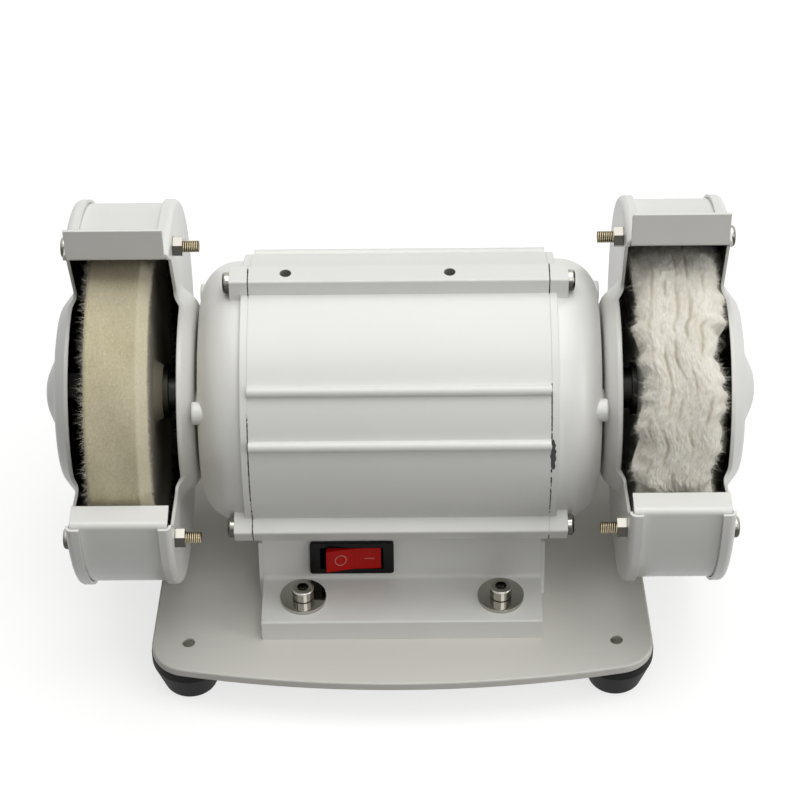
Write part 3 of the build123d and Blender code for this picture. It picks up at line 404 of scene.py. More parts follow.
def band_paint(name):
    """White outside, visor and ledge too; black where the band itself looks towards the shaft."""
    material, tree, shader, colour = white_paint(name)
    coord = add_node(tree, "ShaderNodeTexCoord")
    spoke, reach = from_shaft(tree, coord.outputs["Object"])
    towards = ramp(tree, vector_node(tree, "DOT_PRODUCT", spoke, coord.outputs["Normal"])[1], -0.03, -0.05)
    inside = math_node(tree, "MULTIPLY", towards, ramp(tree, reach, BAND_WHITE, BAND_BLACK))
    tree.links.new(mix_colour(tree, inside, colour, INSIDE_BLACK), shader.inputs["Base Color"])
    return material


def seamed_paint(name):
    """White enamel with the bare joint between shell and bells and painted shade in the two tapped holes on top."""
    material, tree, shader, colour = white_paint(name)
    seam = use_group(
        tree,
        SEAM,
        Place=0.056,
        Width=0.00022,
        Break=0.62,
        Chip_Centre=(0.0566, -0.0508, 0.1135),
        Chip_Half=(0.0011, 0.0062, 0.0075),
    )
    painted = mix_colour(tree, seam.outputs["Mask"], colour, BARE_JOINT)
    place = add_node(tree, "ShaderNodeTexCoord").outputs["Object"]
    folded = vector_node(tree, "ABSOLUTE", vector_node(tree, "ADD", place, (-TAPPED_MID, 0.0, 0.0))[0])[0]
    offset = vector_node(tree, "SUBTRACT", folded, (TAPPED_HALF, 0.0, 0.0))[0]
    level = vector_node(tree, "MULTIPLY", offset, (1.0, 1.0, 0.0))[0]
    # Painted shade: the two tapped holes go near black
    hole_shade_share = ramp(tree, vector_node(tree, "LENGTH", level)[1], TAPPED_WHITE_R, TAPPED_SHADE_R)
    tree.links.new(mix_colour(tree, hole_shade_share, painted, HOLE_SHADE), shader.inputs["Base Color"])
    return material


def plated(name, colour, cloud, gloss, spread, height, edge):
    """Plated steel with painted shade: the faces that don't look up turn dark."""
    material, tree, shader, base = grained(name, colour, cloud, gloss, spread, 2000.0, height, edge, Metallic=1.0)
    painted_shade = use_group(tree, PAINTED_SHADE, Colour=base)
    tree.links.new(painted_shade.outputs["Colour"], shader.inputs["Base Color"])
    return material


def socket_plate(name):
    """Bright nickel with painted shade: black on the walls of the hexagon sockets in the upright pedestal bolts, part
    way to black on their floors, and black in the joint under their heads."""
    material, tree, shader, base = grained(name, NICKEL, 0.06, 0.07, 0.06, 2000.0, 0.000001, 0.0003, Metallic=1.0)
    coord = add_node(tree, "ShaderNodeTexCoord")
    folded = vector_node(tree, "ABSOLUTE", coord.outputs["Object"])[0]
    offset = vector_node(tree, "SUBTRACT", folded, (*SOCKET_AT, 0.0))[0]
    level = vector_node(tree, "MULTIPLY", offset, (1.0, 1.0, 0.0))[0]
    # Painted shade: the socket's walls go black, its floor part way
    inside = ramp(tree, vector_node(tree, "LENGTH", level)[1], SOCKET_SHADE_CLEAR, SOCKET_SHADE_FULL)
    rise = add_node(tree, "ShaderNodeSeparateXYZ", {0: coord.outputs["Normal"]}).outputs["Z"]
    upright = math_node(tree, "MULTIPLY_ADD", ramp(tree, rise, 0.4, 0.6), -0.55, 1.0)
    walls = math_node(tree, "MULTIPLY", inside, upright)
    height = add_node(tree, "ShaderNodeSeparateXYZ", {0: coord.outputs["Object"]}).outputs["Z"]
    # Painted shade: a thin dark ring where the head meets the washer
    joint = math_node(
        tree,
        "MULTIPLY",
        ramp(tree, height, WASHER_TOP, WASHER_TOP + JOINT_SHADE_START),
        ramp(tree, height, WASHER_TOP + JOINT_SHADE_CLEAR, WASHER_TOP + JOINT_SHADE_FULL),
    )
    dark = math_node(tree, "MAXIMUM", walls, joint)
    tree.links.new(mix_colour(tree, dark, base, SOCKET_SHADE), shader.inputs["Base Color"])
    return material


def thread_plate(name):
    """Yellow zinc on the crests of a thread, with painted shade in its grooves, which the mesh carries as an
    attribute.
    """
    material, tree, shader, base = grained(name, ZINC, 0.12, 0.26, 0.15, 2000.0, 0.000002, 0.0001, Metallic=1.0)
    hollow_shade = add_node(tree, "ShaderNodeAttribute", attribute_name="hollow_shade").outputs["Fac"]
    tree.links.new(mix_colour(tree, hollow_shade, base, GROOVE_SHADE), shader.inputs["Base Color"])
    return material


def guard_bolt_plate(name):
    """Guard bolt: yellow zinc along the shank, nickel on the pan head at the outer end."""
    material, tree, shader, base = grained(name, ZINC, 0.12, 0.2, 0.15, 2000.0, 0.000004, 0.0004, Metallic=1.0)
    place = add_node(tree, "ShaderNodeTexCoord").outputs["Object"]
    along = math_node(tree, "ABSOLUTE", add_node(tree, "ShaderNodeSeparateXYZ", {0: place}).outputs["X"])
    head = math_node(tree, "GREATER_THAN", along, PAN_HEAD_FROM)
    # Painted shade: zinc shank and nickel pan head turn dark on faces that don't look up
    painted_shade = use_group(tree, PAINTED_SHADE, Colour=mix_colour(tree, head, base, (*NICKEL, 1)))
    tree.links.new(painted_shade.outputs["Colour"], shader.inputs["Base Color"])
    return material


def wool_material(name, dark, light, along, across, patch, height, sheen):
    """Wool or cotton: colour and nap from the fibre group."""
    material, tree, shader = new_material(name, Roughness=0.95, Sheen_Weight=sheen, Sheen_Roughness=0.6)
    shader.inputs["Specular IOR Level"].default_value = 0.15
    wool = use_group(
        tree, WOOL, Dark=(*dark, 1), Light=(*light, 1), Along=along, Across=across, Patch_Scale=patch, Height=height
    )
    tree.links.new(wool.outputs["Colour"], shader.inputs["Base Color"])
    tree.links.new(wool.outputs["Normal"], shader.inputs["Normal"])
    return material, tree, shader, wool.outputs["Colour"]


def fluff_material(name, dark, light, across):
    """Loose hairs: fine fibres with little nap."""
    return wool_material(name, dark, light, 500.0, across, 300.0, 0.00002, 0.2)[0]


def felt_material(name):
    """Pressed felt with a painted highlight: paler on the bevel towards the motor."""
    material, tree, shader, colour = wool_material(
        name, (0.54, 0.475, 0.305), (0.69, 0.63, 0.45), 800.0, 1100.0, 55.0, 0.00010, 0.15
    )
    place = add_node(tree, "ShaderNodeTexCoord").outputs["Object"]
    along = add_node(tree, "ShaderNodeSeparateXYZ", {0: place}).outputs["X"]
    bevelled = ramp(tree, along, FELT_IN - FELT_BEVEL - 0.0006, FELT_IN - FELT_BEVEL)
    # Painted highlight: the bevel towards the motor turns paler
    bevel_highlight = math_node(tree, "MULTIPLY", bevelled, 0.22)
    tree.links.new(mix_colour(tree, bevel_highlight, colour, FELT_HIGHLIGHT), shader.inputs["Base Color"])
    return material


def cotton_material(name):
    """Carded cotton with painted shade, darker down in the furrows that the mesh carries as an attribute."""
    material, tree, shader, colour = wool_material(
        name, (0.76, 0.72, 0.61), (0.93, 0.905, 0.82), 420.0, 620.0, 140.0, 0.0003, 0.3
    )
    hollow_shade = add_node(tree, "ShaderNodeAttribute", attribute_name="hollow_shade").outputs["Fac"]
    tree.links.new(mix_colour(tree, hollow_shade, colour, FURROW_SHADE), shader.inputs["Base Color"])
    return material


materials = {
    "white": white_paint("white_enamel")[0],
    "seamed": seamed_paint("white_enamel_seamed"),
    "plate": grained("plate_enamel", (0.71, 0.695, 0.65), 0.02, 0.42, 0.08, 1500.0, 0.00001, 0.0004)[0],
    "rubber": dull("foot_rubber", (0.009, 0.009, 0.009), 0.2, 0.55, 0.15, 1200.0, 0.00002, 0.0005),
    "nickel": plated("nickel_plate", NICKEL, 0.06, 0.09, 0.08, 0.000001, 0.0003),
    "nut": plated("dark_nickel_plate", DARK_NICKEL, 0.06, 0.16, 0.08, 0.000001, 0.0003),
    "socket": socket_plate("nickel_socket"),
    "thread": thread_plate("zinc_thread"),
    "guard_bolt": guard_bolt_plate("guard_bolt_plate"),
    "dark_steel": metal("dark_steel", (0.03, 0.03, 0.03), 0.2, 0.42, 0.2, 1500.0, 0.000006, 0.0003),
    "sleeve": metal("sleeve_steel", (0.06, 0.06, 0.056), 0.1, 0.4, 0.1, 1500.0, 0.000004, 0.0003),
    "lamination": metal("lamination_steel", (0.2, 0.2, 0.21), 0.1, 0.45, 0.2, 3000.0, 0.00001, 0.0003),
    "copper": metal("winding_copper", (0.55, 0.22, 0.08), 0.15, 0.35, 0.2, 1500.0, 0.00003, 0.0003),
    "black": dull("black_nylon", (0.006, 0.006, 0.006), 0.1, 0.3, 0.1, 1500.0, 0.000005, 0.0004),
    "red": dull("red_rocker", (0.50, 0.006, 0.004), 0.05, 0.26, 0.08, 900.0, 0.000003, 0.0005),
    "brass": metal("terminal_brass", (0.7, 0.5, 0.2), 0.1, 0.3, 0.2, 2000.0, 0.000005, 0.0002),
    "grey": grained("grey_moulding", (0.42, 0.42, 0.40), 0.05, 0.5, 0.1, 1200.0, 0.00001, 0.0004)[0],
    "mark": dull("mark_pale", (0.66, 0.30, 0.26), 0.03, 0.4, 0.1, 1200.0, 0.000002, 0.0001),
    "felt": felt_material("felt_pressed"),
    "felt_fluff": fluff_material("felt_fluff", (0.72, 0.67, 0.53), (0.86, 0.83, 0.73), 1300.0),
    "cotton": cotton_material("cotton_leaf"),
    "cotton_fluff": fluff_material("cotton_fluff", (0.82, 0.79, 0.70), (0.92, 0.90, 0.83), 900.0),
}

slot_material = {
    "white_paint": "white",
    "plate_paint": "plate",
    "black_rubber": "rubber",
    "nickel_steel": "nickel",
    "yellow_zinc": "guard_bolt",
    "dark_steel": "dark_steel",
    "lamination": "lamination",
    "copper": "copper",
    "felt": "felt",
    "cotton": "cotton",
    "black_plastic": "black",
    "red_plastic": "red",
    "brass": "brass",
    "grey_plastic": "grey",
}
for part in frame["record"]["subparts"]:
    mesh = nodes[part["node"]].data
    mesh.materials.clear()
    mesh.materials.append(materials[slot_material[part["material_slot"]]])

for name in ("motor_housing", "end_bell_left", "end_bell_right"):
    nodes[name].data.materials[0] = materials["seamed"]
for name in ("guard_nuts_left", "guard_nuts_right"):
    nodes[name].data.materials[0] = materials["nut"]
for name in ("pedestal_bolts", "pedestal_washers"):
    nodes[name].data.materials[0] = materials["socket"]
for side, sx in (("left", -1.0), ("right", 1.0)):
    nodes[f"inner_flange_{side}"].data.materials[0] = materials["sleeve"]
    nodes[f"guard_inner_cover_{side}"].data.materials[0] = guard_paint(f"guard_inner_{side}", sx)
    nodes[f"guard_outer_cover_{side}"].data.materials[0] = guard_paint(f"guard_outer_{side}", -sx)
band_coat = band_paint("guard_band")
for side in ("left", "right"):
    nodes[f"guard_band_{side}"].data.materials[0] = band_coat


def grid_mesh(name, points, uv, hollow_shade=None, close_rows=False, close_columns=False, fill_ends=False):
    """Quads between neighbouring points of a grid (rows, columns, 3), turned so that they face away from its
    middle. Where the grid closes on itself, uv has one more row or column, so that the pattern runs on to the
    seam. hollow_shade gives the points a value from 0 to 1 for the material's painted shade; fill_ends caps the first
    and the last row."""
    rows, columns = points.shape[:2]
    index = np.arange(rows * columns).reshape(rows, columns)
    if close_rows:
        index = np.vstack([index, index[:1]])
    if close_columns:
        index = np.hstack([index, index[:, :1]])
    spots = np.arange(index.size).reshape(index.shape)
    corners, patterns = (
        np.stack([grid[:-1, :-1], grid[:-1, 1:], grid[1:, 1:], grid[1:, :-1]], axis=-1).reshape(-1, 4)
        for grid in (index, spots)
    )
    flat = points.reshape(-1, 3)
    a, b, c = (flat[corners[:, k]] - flat.mean(axis=0) for k in range(3))
    inside_out = np.einsum("ij,ij->i", a, np.cross(b, c)).sum() < 0
    if inside_out:
        corners, patterns = corners[:, ::-1], patterns[:, ::-1]
    faces = corners.tolist()
    loops = patterns.reshape(-1)
    if fill_ends:
        first, last = (index[0, :columns], index[-1, :columns][::-1])
        ends = (first[::-1], last[::-1]) if inside_out else (first, last)
        faces += [end.tolist() for end in ends]
        loops = np.concatenate([loops, np.zeros(2 * columns, int)])
    mesh = bpy.data.meshes.new(name)
    mesh.from_pydata(flat.tolist(), [], faces)
    layer = mesh.uv_layers.new(name="surface")
    layer.data.foreach_set("uv", uv.reshape(-1, 2)[loops].astype(np.float32).reshape(-1))
    mesh.polygons.foreach_set("use_smooth", np.ones(len(faces), bool))
    if hollow_shade is not None:
        depth = mesh.attributes.new("hollow_shade", "FLOAT", "POINT")
        depth.data.foreach_set("value", hollow_shade.astype(np.float32).reshape(-1))
    mesh.update()
    return mesh


def add_piece(name, mesh, material, body):
    """Object for a mesh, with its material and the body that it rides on."""
    piece = bpy.data.objects.new(name, mesh)
    mesh.materials.append(material)
    scene.collection.objects.link(piece)
    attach(piece, body)
    return piece


def around(x, r, angle):
    """Point at x along the shaft, r from it and an angle up from the front."""
    return np.stack([x, -r * np.cos(angle), AXIS_Z + r * np.sin(angle)], axis=-1)


def wave_field(across, angle, terms):
    """Sum of travelling waves over a rim: each term has its turns around the wheel, cycles across it, amount and
    phase."""
    turns, cycles, amount, phase = terms
    return (amount * np.sin(turns * angle[..., None] + TURN * cycles * across[..., None] + phase)).sum(axis=-1)


def wave_terms(rng, count, turns, cycles, amount):
    """Random wave terms: whole turns up to a limit either way, cycles within a span, equal amounts."""
    return (
        rng.integers(-turns, turns + 1, count),
        rng.uniform(*cycles, count),
        np.full(count, amount / math.sqrt(count)),
        rng.uniform(0, TURN, count),
    )


def fibres(name, root, aim, length, width, rng):
    """Curved tapering fibres with a triangular section: a ring of three points at the root, a thinner ring at the
    bend and one tip. Bend and tip stray from the aim at random."""
    count = len(root)
    aim = aim / np.linalg.norm(aim, axis=1, keepdims=True)
    side = np.cross(aim, rng.normal(size=(count, 3)))
    side /= np.linalg.norm(side, axis=1, keepdims=True)
    spoke = (np.arange(3) * TURN / 3)[:, None]
    ring = width * (side[:, None] * np.cos(spoke) + np.cross(aim, side)[:, None] * np.sin(spoke))
    stray = rng.normal(scale=0.3, size=(count, 3)) * length[:, None]
    middle = root + aim * (0.55 * length)[:, None] + 0.3 * stray
    tip = root + aim * length[:, None] + stray
    points = np.concatenate([root[:, None] + ring, middle[:, None] + 0.7 * ring, tip[:, None]], axis=1)
    shape = np.array(
        [(0, 2, 1), (0, 1, 4), (0, 4, 3), (1, 2, 5), (1, 5, 4), (2, 0, 3), (2, 3, 5), (3, 4, 6), (4, 5, 6), (5, 3, 6)]
    )
    faces = (7 * np.arange(count)[:, None, None] + shape).reshape(-1, 3)
    mesh = bpy.data.meshes.new(name)
    mesh.from_pydata(points.reshape(-1, 3).tolist(), [], faces.tolist())
    layer = mesh.uv_layers.new(name="surface")
    spread = np.repeat(rng.uniform(0, 0.4, size=(count, 2)), 7, axis=0)
    layer.data.foreach_set("uv", spread[faces.reshape(-1)].astype(np.float32).reshape(-1))
    mesh.update()
    return mesh


# More of the felt wheel: bore, worn edge, radii of the hub and of the dish beside it, grid and its seam, low at the
# back, hairs, their shares of rim, bevel and outer edge added up, depths of their roots, lengths and width
FELT_BORE = 0.0061
FELT_EDGE = 0.0012
HUB_R, DISH_FROM, DISH_TO = 0.0105, 0.0120, 0.047
FELT_TURNS, FELT_SEAM = 260, math.radians(245)
FELT_HAIRS = 19000
HAIRS_RIM, HAIRS_BEVEL, HAIRS_OUTER = 0.5, 0.78, 0.92
HAIR_ROOT, OUTER_ROOT, FACE_ROOT = 0.0006, 0.0009, 0.0004
RIM_HAIR, BEVEL_HAIR, OUTER_HAIR, FACE_HAIR = 0.0008, 0.0009, 0.0021, 0.0012
HAIR_WIDTH = 0.000035


def felt_profile():
    """Closed profile (x, r): outer face up from the bore, a tight worn edge, the rim, a straight bevel on the
    motor side, and the inner face, dished around the hub, down to the bore."""
    turn = np.linspace(0, math.pi / 2, 6)[1:]
    edge_x = FELT_OUT + FELT_EDGE * (1 - np.cos(turn))
    edge_r = FELT_R - FELT_EDGE * (1 - np.sin(turn))
    slope = np.linspace(0, 1, 12)[1:]
    bevel_x = FELT_IN - FELT_BEVEL * (1 - slope)
    bevel_r = FELT_R - FELT_DROP * slope
    face = np.linspace(FELT_BORE, FELT_R - FELT_EDGE, 14)
    rim_x = np.linspace(edge_x[-1], FELT_IN - FELT_BEVEL, 24)[1:]
    back = np.linspace(bevel_r[-1], FELT_BORE, 26)[1:]
    back_x = np.interp(back, (HUB_R, DISH_FROM, DISH_TO, bevel_r[-1]), (FELT_HUB, FELT_DISH, FELT_DISH, FELT_IN))
    x = np.concatenate([np.full(14, FELT_OUT), edge_x, rim_x, bevel_x, back_x])
    r = np.concatenate([face, edge_r, np.full(23, FELT_R), bevel_r, back])
    return x, r


def felt_wheel():
    """Surface of revolution of the felt profile, with shallow waves of wear and a rough nap, and its hairs."""
    rng = np.random.default_rng(11)
    x, r = felt_profile()
    angle = np.arange(FELT_TURNS + 1) * TURN / FELT_TURNS + FELT_SEAM
    grid_a, grid_x = np.meshgrid(angle[:-1], x, indexing="ij")
    grid_r = np.broadcast_to(r, grid_a.shape)
    outer = np.clip((grid_r - 0.03) / 0.025, 0, 1)
    across = (grid_x - FELT_OUT) / (FELT_IN - FELT_OUT)
    wear = wave_field(across, grid_a, wave_terms(rng, 12, 9, (-1.5, 1.5), 0.00022))
    nap = rng.normal(scale=0.00006, size=grid_a.shape)
    rad = grid_r + outer * (wear + nap - 0.0003)
    axial = grid_x + outer * rng.normal(scale=0.00005, size=grid_a.shape)
    run = np.concatenate([[0], np.cumsum(np.hypot(np.diff(x), np.diff(r)))])
    run = np.append(run, run[-1] + abs(FELT_OUT - FELT_IN))
    uv = np.stack(np.meshgrid(angle * FELT_R, run, indexing="ij"), axis=-1)
    mesh = grid_mesh("felt_wheel_pressed", around(axial, rad, grid_a), uv, close_rows=True, close_columns=True)
    piece = add_piece("felt_wheel_pressed", mesh, materials["felt"], "rotor")
    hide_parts("felt_wheel")
    felt_hairs(rng)


def felt_hairs(rng):
    """Hairs on the felt's rim, bevel, outer edge and motor-side face; they point away from where they grow."""
    count = FELT_HAIRS
    angle = rng.uniform(0, TURN, count)
    kind = rng.uniform(size=count)
    on_rim = kind < HAIRS_RIM
    on_bevel = (kind >= HAIRS_RIM) & (kind < HAIRS_BEVEL)
    outer_edge = (kind >= HAIRS_BEVEL) & (kind < HAIRS_OUTER)
    where = [on_rim, on_bevel, outer_edge]
    slope = np.clip(np.abs(rng.normal(scale=0.35, size=count)), 0, 1)
    x_root = np.select(
        where,
        [
            rng.uniform(FELT_OUT + FELT_EDGE, FELT_IN - FELT_BEVEL, count),
            FELT_IN - FELT_BEVEL * slope,
            FELT_OUT + FELT_EDGE * np.abs(rng.normal(scale=0.4, size=count)),
        ],
        FELT_IN,
    )
    r_root = np.select(
        where,
        [FELT_R - HAIR_ROOT, FELT_R - FELT_DROP * (1 - slope) - HAIR_ROOT, FELT_R - OUTER_ROOT],
        FELT_R - FELT_DROP - FACE_ROOT - np.abs(rng.normal(scale=0.0008, size=count)),
    )
    out = around(np.zeros(count), np.ones(count), angle) - (0, 0, AXIS_Z)
    sideways = np.zeros((count, 3))
    sideways[:, 0] = np.select(where, [0.0, 0.7, -0.8], 1.0)
    outwards = np.select(where, [1.0, 0.7, 0.6], 0.45)
    aim = sideways + outwards[:, None] * out + rng.normal(scale=0.5, size=(count, 3))
    length = np.select(where, [RIM_HAIR, BEVEL_HAIR, OUTER_HAIR], FACE_HAIR) * rng.uniform(0.4, 1.6, count)
    fluff = fibres("felt_fluff", around(x_root, r_root, angle), aim, length, HAIR_WIDTH, rng)
    add_piece("felt_fluff", fluff, materials["felt_fluff"], "rotor")


felt_wheel()

# Cotton buff: radius, clamped core, bore, drop towards the edges, grid and its seam, low at the back, length of its
# outline without and with the bore, share of it that is one side face, gaps between leaves as shares of the width, and
# relief
BUFF_R = 0.0596
BUFF_CORE_IN, BUFF_CORE_OUT = 0.0907, 0.1154
BUFF_CORE_R = 0.0262
BUFF_BORE = 0.0061
BUFF_DROP = 0.0042
BUFF_TURNS, BUFF_STEPS, BUFF_SEAM = 520, 180, math.radians(250)
BUFF_RUN, BUFF_ROUND = 0.13, 0.156
BUFF_FACE = 0.28
GAP_WIDTH, GAP_DEPTH = 0.022, 0.0005
FOLD_HEIGHT, LUMP_HEIGHT, TUFT_HEIGHT = 0.0007, 0.0004, 0.00012
# Its fluff: fibres of a kind, where on the outline an edge lies from the middle and how far its fibres stray, the rim
# between, their lengths, and how many are wisps and how much longer these are
COTTON_FIBRES = 19000
FLUFF_EDGE, FLUFF_STRAY = 0.222, 0.012
FLUFF_RIM = (0.285, 0.715)
EDGE_FIBRE, RIM_FIBRE = 0.0013, 0.0011
WISP_SHARE, WISP_TIMES = 0.06, 2.2
# Its two ragged edges: how far the leaves stop short of them, angles up from the front in degrees, and where the edge
# lies in millimetres along the shaft
EDGE_SHORT = 0.0004
INNER_EDGE_AT = (
    -60, -30, 0, 3, 8, 11, 17, 21, 24, 27, 32, 36, 41, 47, 53, 60, 66, 67, 72,
    82, 88, 94, 100, 113, 140, 170, 200, 230, 260,
)
INNER_EDGE_X = (
    88.5, 87.2, 89.6, 87.7, 86.0, 87.1, 88.5, 88.9, 87.6, 86.8, 88.6, 89.6, 90.8, 89.7, 88.4, 87.8, 86.0, 87.0, 87.6,
    88.3, 89.2, 89.0, 87.0, 86.8, 88.4, 87.3, 89.0, 87.0, 88.6,
)
OUTER_EDGE_AT = (
    -60, -25, 2, 8, 14, 19, 24, 29, 34, 39, 44, 49, 53, 57, 64, 67,
    72, 77, 82, 87, 94, 101, 112, 140, 175, 205, 240, 270,
)
OUTER_EDGE_X = (
    118.8, 117.0, 114.4, 115.5, 116.4, 119.1, 117.9, 118.0, 118.8, 119.8, 119.6, 117.5, 115.7, 116.5, 116.8, 119.5,
    120.0, 119.8, 119.0, 118.7, 118.1, 118.1, 118.6, 117.0, 119.0, 117.2, 118.9, 117.4,
)
LEAF_GAPS = np.array([0.16, 0.33, 0.47, 0.62, 0.81])
buff_rng = np.random.default_rng(5)
LUMPS = wave_terms(buff_rng, 16, 12, (-2.0, 2.0), 1.0)
TUFTS = wave_terms(buff_rng, 40, 90, (-12.0, 12.0), 1.0)
FOLDS = wave_terms(buff_rng, 14, 70, (-0.6, 0.6), 1.0)
GAP_WANDER = wave_terms(buff_rng, 7, 5, (-0.5, 0.5), 0.03)
GAP_OPEN = wave_terms(buff_rng, 12, 26, (-3.0, 3.0), 1.0)


def buff_surface(share, angle):
    """Leaves spread from the clamped core to the rim. share runs up the inner face, over the rim and down the outer
    face; the rim is a barrel between the ragged edges with lumps and tufts on it, parted here and there by shallow
    wandering gaps between the leaves. Returns x, r and how deep in a gap or a low spot between lumps the point lies,
    from 0 to 1, which the cotton's material turns into painted shade."""
    degrees = np.degrees(angle)
    inner = np.interp(degrees, INNER_EDGE_AT, INNER_EDGE_X, period=360) / 1000 + EDGE_SHORT
    outer = np.interp(degrees, OUTER_EDGE_AT, OUTER_EDGE_X, period=360) / 1000 - EDGE_SHORT
    over = np.clip((share - BUFF_FACE) / (1 - 2 * BUFF_FACE), 0, 1)
    rise = np.clip(np.minimum(share, 1 - share) / BUFF_FACE, 0, 1)
    barrel = np.abs(2 * over - 1) ** 5
    on_rim = (share >= BUFF_FACE) & (share <= 1 - BUFF_FACE)
    r = np.where(on_rim, BUFF_R - BUFF_DROP * barrel, BUFF_BORE + (BUFF_R - BUFF_DROP - BUFF_BORE) * rise)
    fan = np.clip((r - BUFF_CORE_R) / (BUFF_R - BUFF_DROP - BUFF_CORE_R), 0, 1)
    ease = fan * fan * (3 - 2 * fan)
    core = np.where(share < 0.5, BUFF_CORE_IN, BUFF_CORE_OUT)
    edge = np.where(share < 0.5, inner, outer)
    fold = FOLD_HEIGHT * wave_field(over, angle, FOLDS) * ease * np.where(share < 0.5, -1, 1)
    x = np.where(on_rim, inner + (outer - inner) * over + fold * barrel, core + (edge - core) * ease + fold)
    drift = (over + wave_field(over, angle, GAP_WANDER))[..., None] - LEAF_GAPS
    near = np.exp(-((np.abs(drift).min(axis=-1) / GAP_WIDTH) ** 2))
    gap = near * np.clip(0.35 + wave_field(over, angle, GAP_OPEN), 0, 1) * (1 - barrel) * on_rim
    lump = wave_field(over, angle, LUMPS)
    tuft = wave_field(over, angle, TUFTS)
    r = r + (LUMP_HEIGHT * lump + TUFT_HEIGHT * tuft - LUMP_HEIGHT) * fan - GAP_DEPTH * gap
    return x, r, 0.8 * gap + 0.06 * np.clip(-tuft - lump, 0, 2) * on_rim


def buff_fluff(name, rng, count, edge):
    """Cotton fibres: along the ragged edges they stand sideways, some as long wisps; on the rim they lie nearly
    flat."""
    angle = rng.uniform(0, TURN, count)
    side = rng.choice([-1.0, 1.0], count)
    share = 0.5 + side * (FLUFF_EDGE + rng.normal(0, FLUFF_STRAY, count)) if edge else rng.uniform(*FLUFF_RIM, count)
    x, r, _ = buff_surface(share, angle)
    out = around(np.zeros(count), np.ones(count), angle) - (0, 0, AXIS_Z)
    lean = np.cross(np.array([1.0, 0, 0]), out) * rng.normal(scale=0.7, size=count)[:, None]
    stray = rng.normal(scale=0.4, size=(count, 3))
    along = np.array([1.0, 0, 0]) * (side if edge else np.zeros(count))[:, None]
    aim = along + (0.5 if edge else 0.25) * out + lean + stray
    wisp = np.where(rng.uniform(size=count) < WISP_SHARE, WISP_TIMES, 1.0)
    length = (EDGE_FIBRE if edge else RIM_FIBRE) * wisp * rng.gamma(4.0, 0.25, count)
    mesh = fibres(name, around(x, r - 0.0002, angle), aim, length, HAIR_WIDTH, rng)
    add_piece(name, mesh, materials["cotton_fluff"], "rotor")


def cotton_buff():
    """The lumpy cotton surface, short fluff over its rim and wisps along its ragged edges."""
    rng = np.random.default_rng(8)
    angle = np.arange(BUFF_TURNS + 1) * TURN / BUFF_TURNS + BUFF_SEAM
    share = np.linspace(0, 1, BUFF_STEPS)
    grid_a, grid_s = np.meshgrid(angle[:-1], share, indexing="ij")
    x, r, gap = buff_surface(grid_s, grid_a)
    r = r + rng.normal(scale=0.00013, size=r.shape) * np.clip((r - BUFF_CORE_R) / 0.02, 0, 1)
    uv = np.stack(np.meshgrid(angle * BUFF_R, np.append(share * BUFF_RUN, BUFF_ROUND), indexing="ij"), axis=-1)
    mesh = grid_mesh("cotton_buff_leaves", around(x, r, grid_a), uv, gap, close_rows=True, close_columns=True)
    piece = add_piece("cotton_buff_leaves", mesh, materials["cotton"], "rotor")
    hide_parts("cotton_buff")
    buff_fluff("cotton_edge_fluff", rng, COTTON_FIBRES, True)
    buff_fluff("cotton_rim_fluff", rng, COTTON_FIBRES, False)


cotton_buff()

# Threads on the bare ends of the guard bolts
BOLT_PCD = 0.065
BOLT_TURNS = (56.5, -56.5, 180.0)
OPENINGS = {"left": (-1.0, 41.5), "right": (1.0, 45.7)}
THREAD_PITCH = 0.0008
THREAD_FROM, THREAD_TO = 0.0742, 0.0802
THREAD_CORE, THREAD_RISE = 0.00202, 0.00026
THREAD_STEPS, THREAD_SPOKES = 68, 20


def bolt_thread(side):
    """Helical ridge: the radius is a triangle wave of x / pitch + angle / turn, on a capped sleeve at each bolt
    end."""
    sx, opening = OPENINGS[side]
    angle = np.arange(THREAD_SPOKES + 1) * TURN / THREAD_SPOKES
    grid_x, grid_a = np.meshgrid(np.linspace(THREAD_FROM, THREAD_TO, THREAD_STEPS), angle, indexing="ij")
    phase = (grid_x / THREAD_PITCH + grid_a / TURN) % 1.0
    crest = 1 - 2 * np.abs(phase - 0.5)
    r = THREAD_CORE + THREAD_RISE * crest
    # Painted shade: the lower the thread, the darker its groove
    groove_shade_share = np.clip(1.5 - 2.2 * crest[:, :-1], 0, 1)
    for number, turn in enumerate(BOLT_TURNS):
        away = math.radians(opening + turn)
        y = -BOLT_PCD * math.cos(away) + r * np.cos(grid_a)
        z = AXIS_Z + BOLT_PCD * math.sin(away) + sx * r * np.sin(grid_a)
        points = np.stack([sx * grid_x, y, z], axis=-1)[:, :-1]
        uv = np.stack([grid_x, grid_a * 0.002], axis=-1)
        name = f"bolt_thread_{side}_{number}"
        mesh = grid_mesh(name, points, uv, groove_shade_share, close_columns=True, fill_ends=True)
        add_piece(name, mesh, materials["thread"], "machine")


for side in OPENINGS:
    bolt_thread(side)

# Marks on the rocker: lean of the wall, tilt and pivot of the rocker, its axes, and the V of its face
LEAN = math.radians(12.0)
TILT = math.radians(8.0)
PIVOT = np.array([-0.0195, -0.0279022, 0.0401591])
ROCKER_X = np.array([math.cos(TILT), math.sin(TILT) * math.cos(LEAN), -math.sin(TILT) * math.sin(LEAN)])
ROCKER_UP = np.array([0.0, math.sin(LEAN), math.cos(LEAN)])
ROCKER_N = np.cross(ROCKER_X, ROCKER_UP)
ROCKER_HALF, ROCKER_MID, ROCKER_RISE = 0.0108, 0.0042, 0.0010
MARK_T = 0.00004
MARK_SECTION = ((-1, -1), (-1, 1), (1, 1), (1, -1))


def on_rocker(x, y, height):
    """Point on a rocker face: x along the rocker, y up the wall, height above the V-shaped top."""
    top = ROCKER_MID + ROCKER_RISE * np.abs(x) / ROCKER_HALF + height
    return PIVOT + x[..., None] * ROCKER_X + y[..., None] * ROCKER_UP + top[..., None] * ROCKER_N


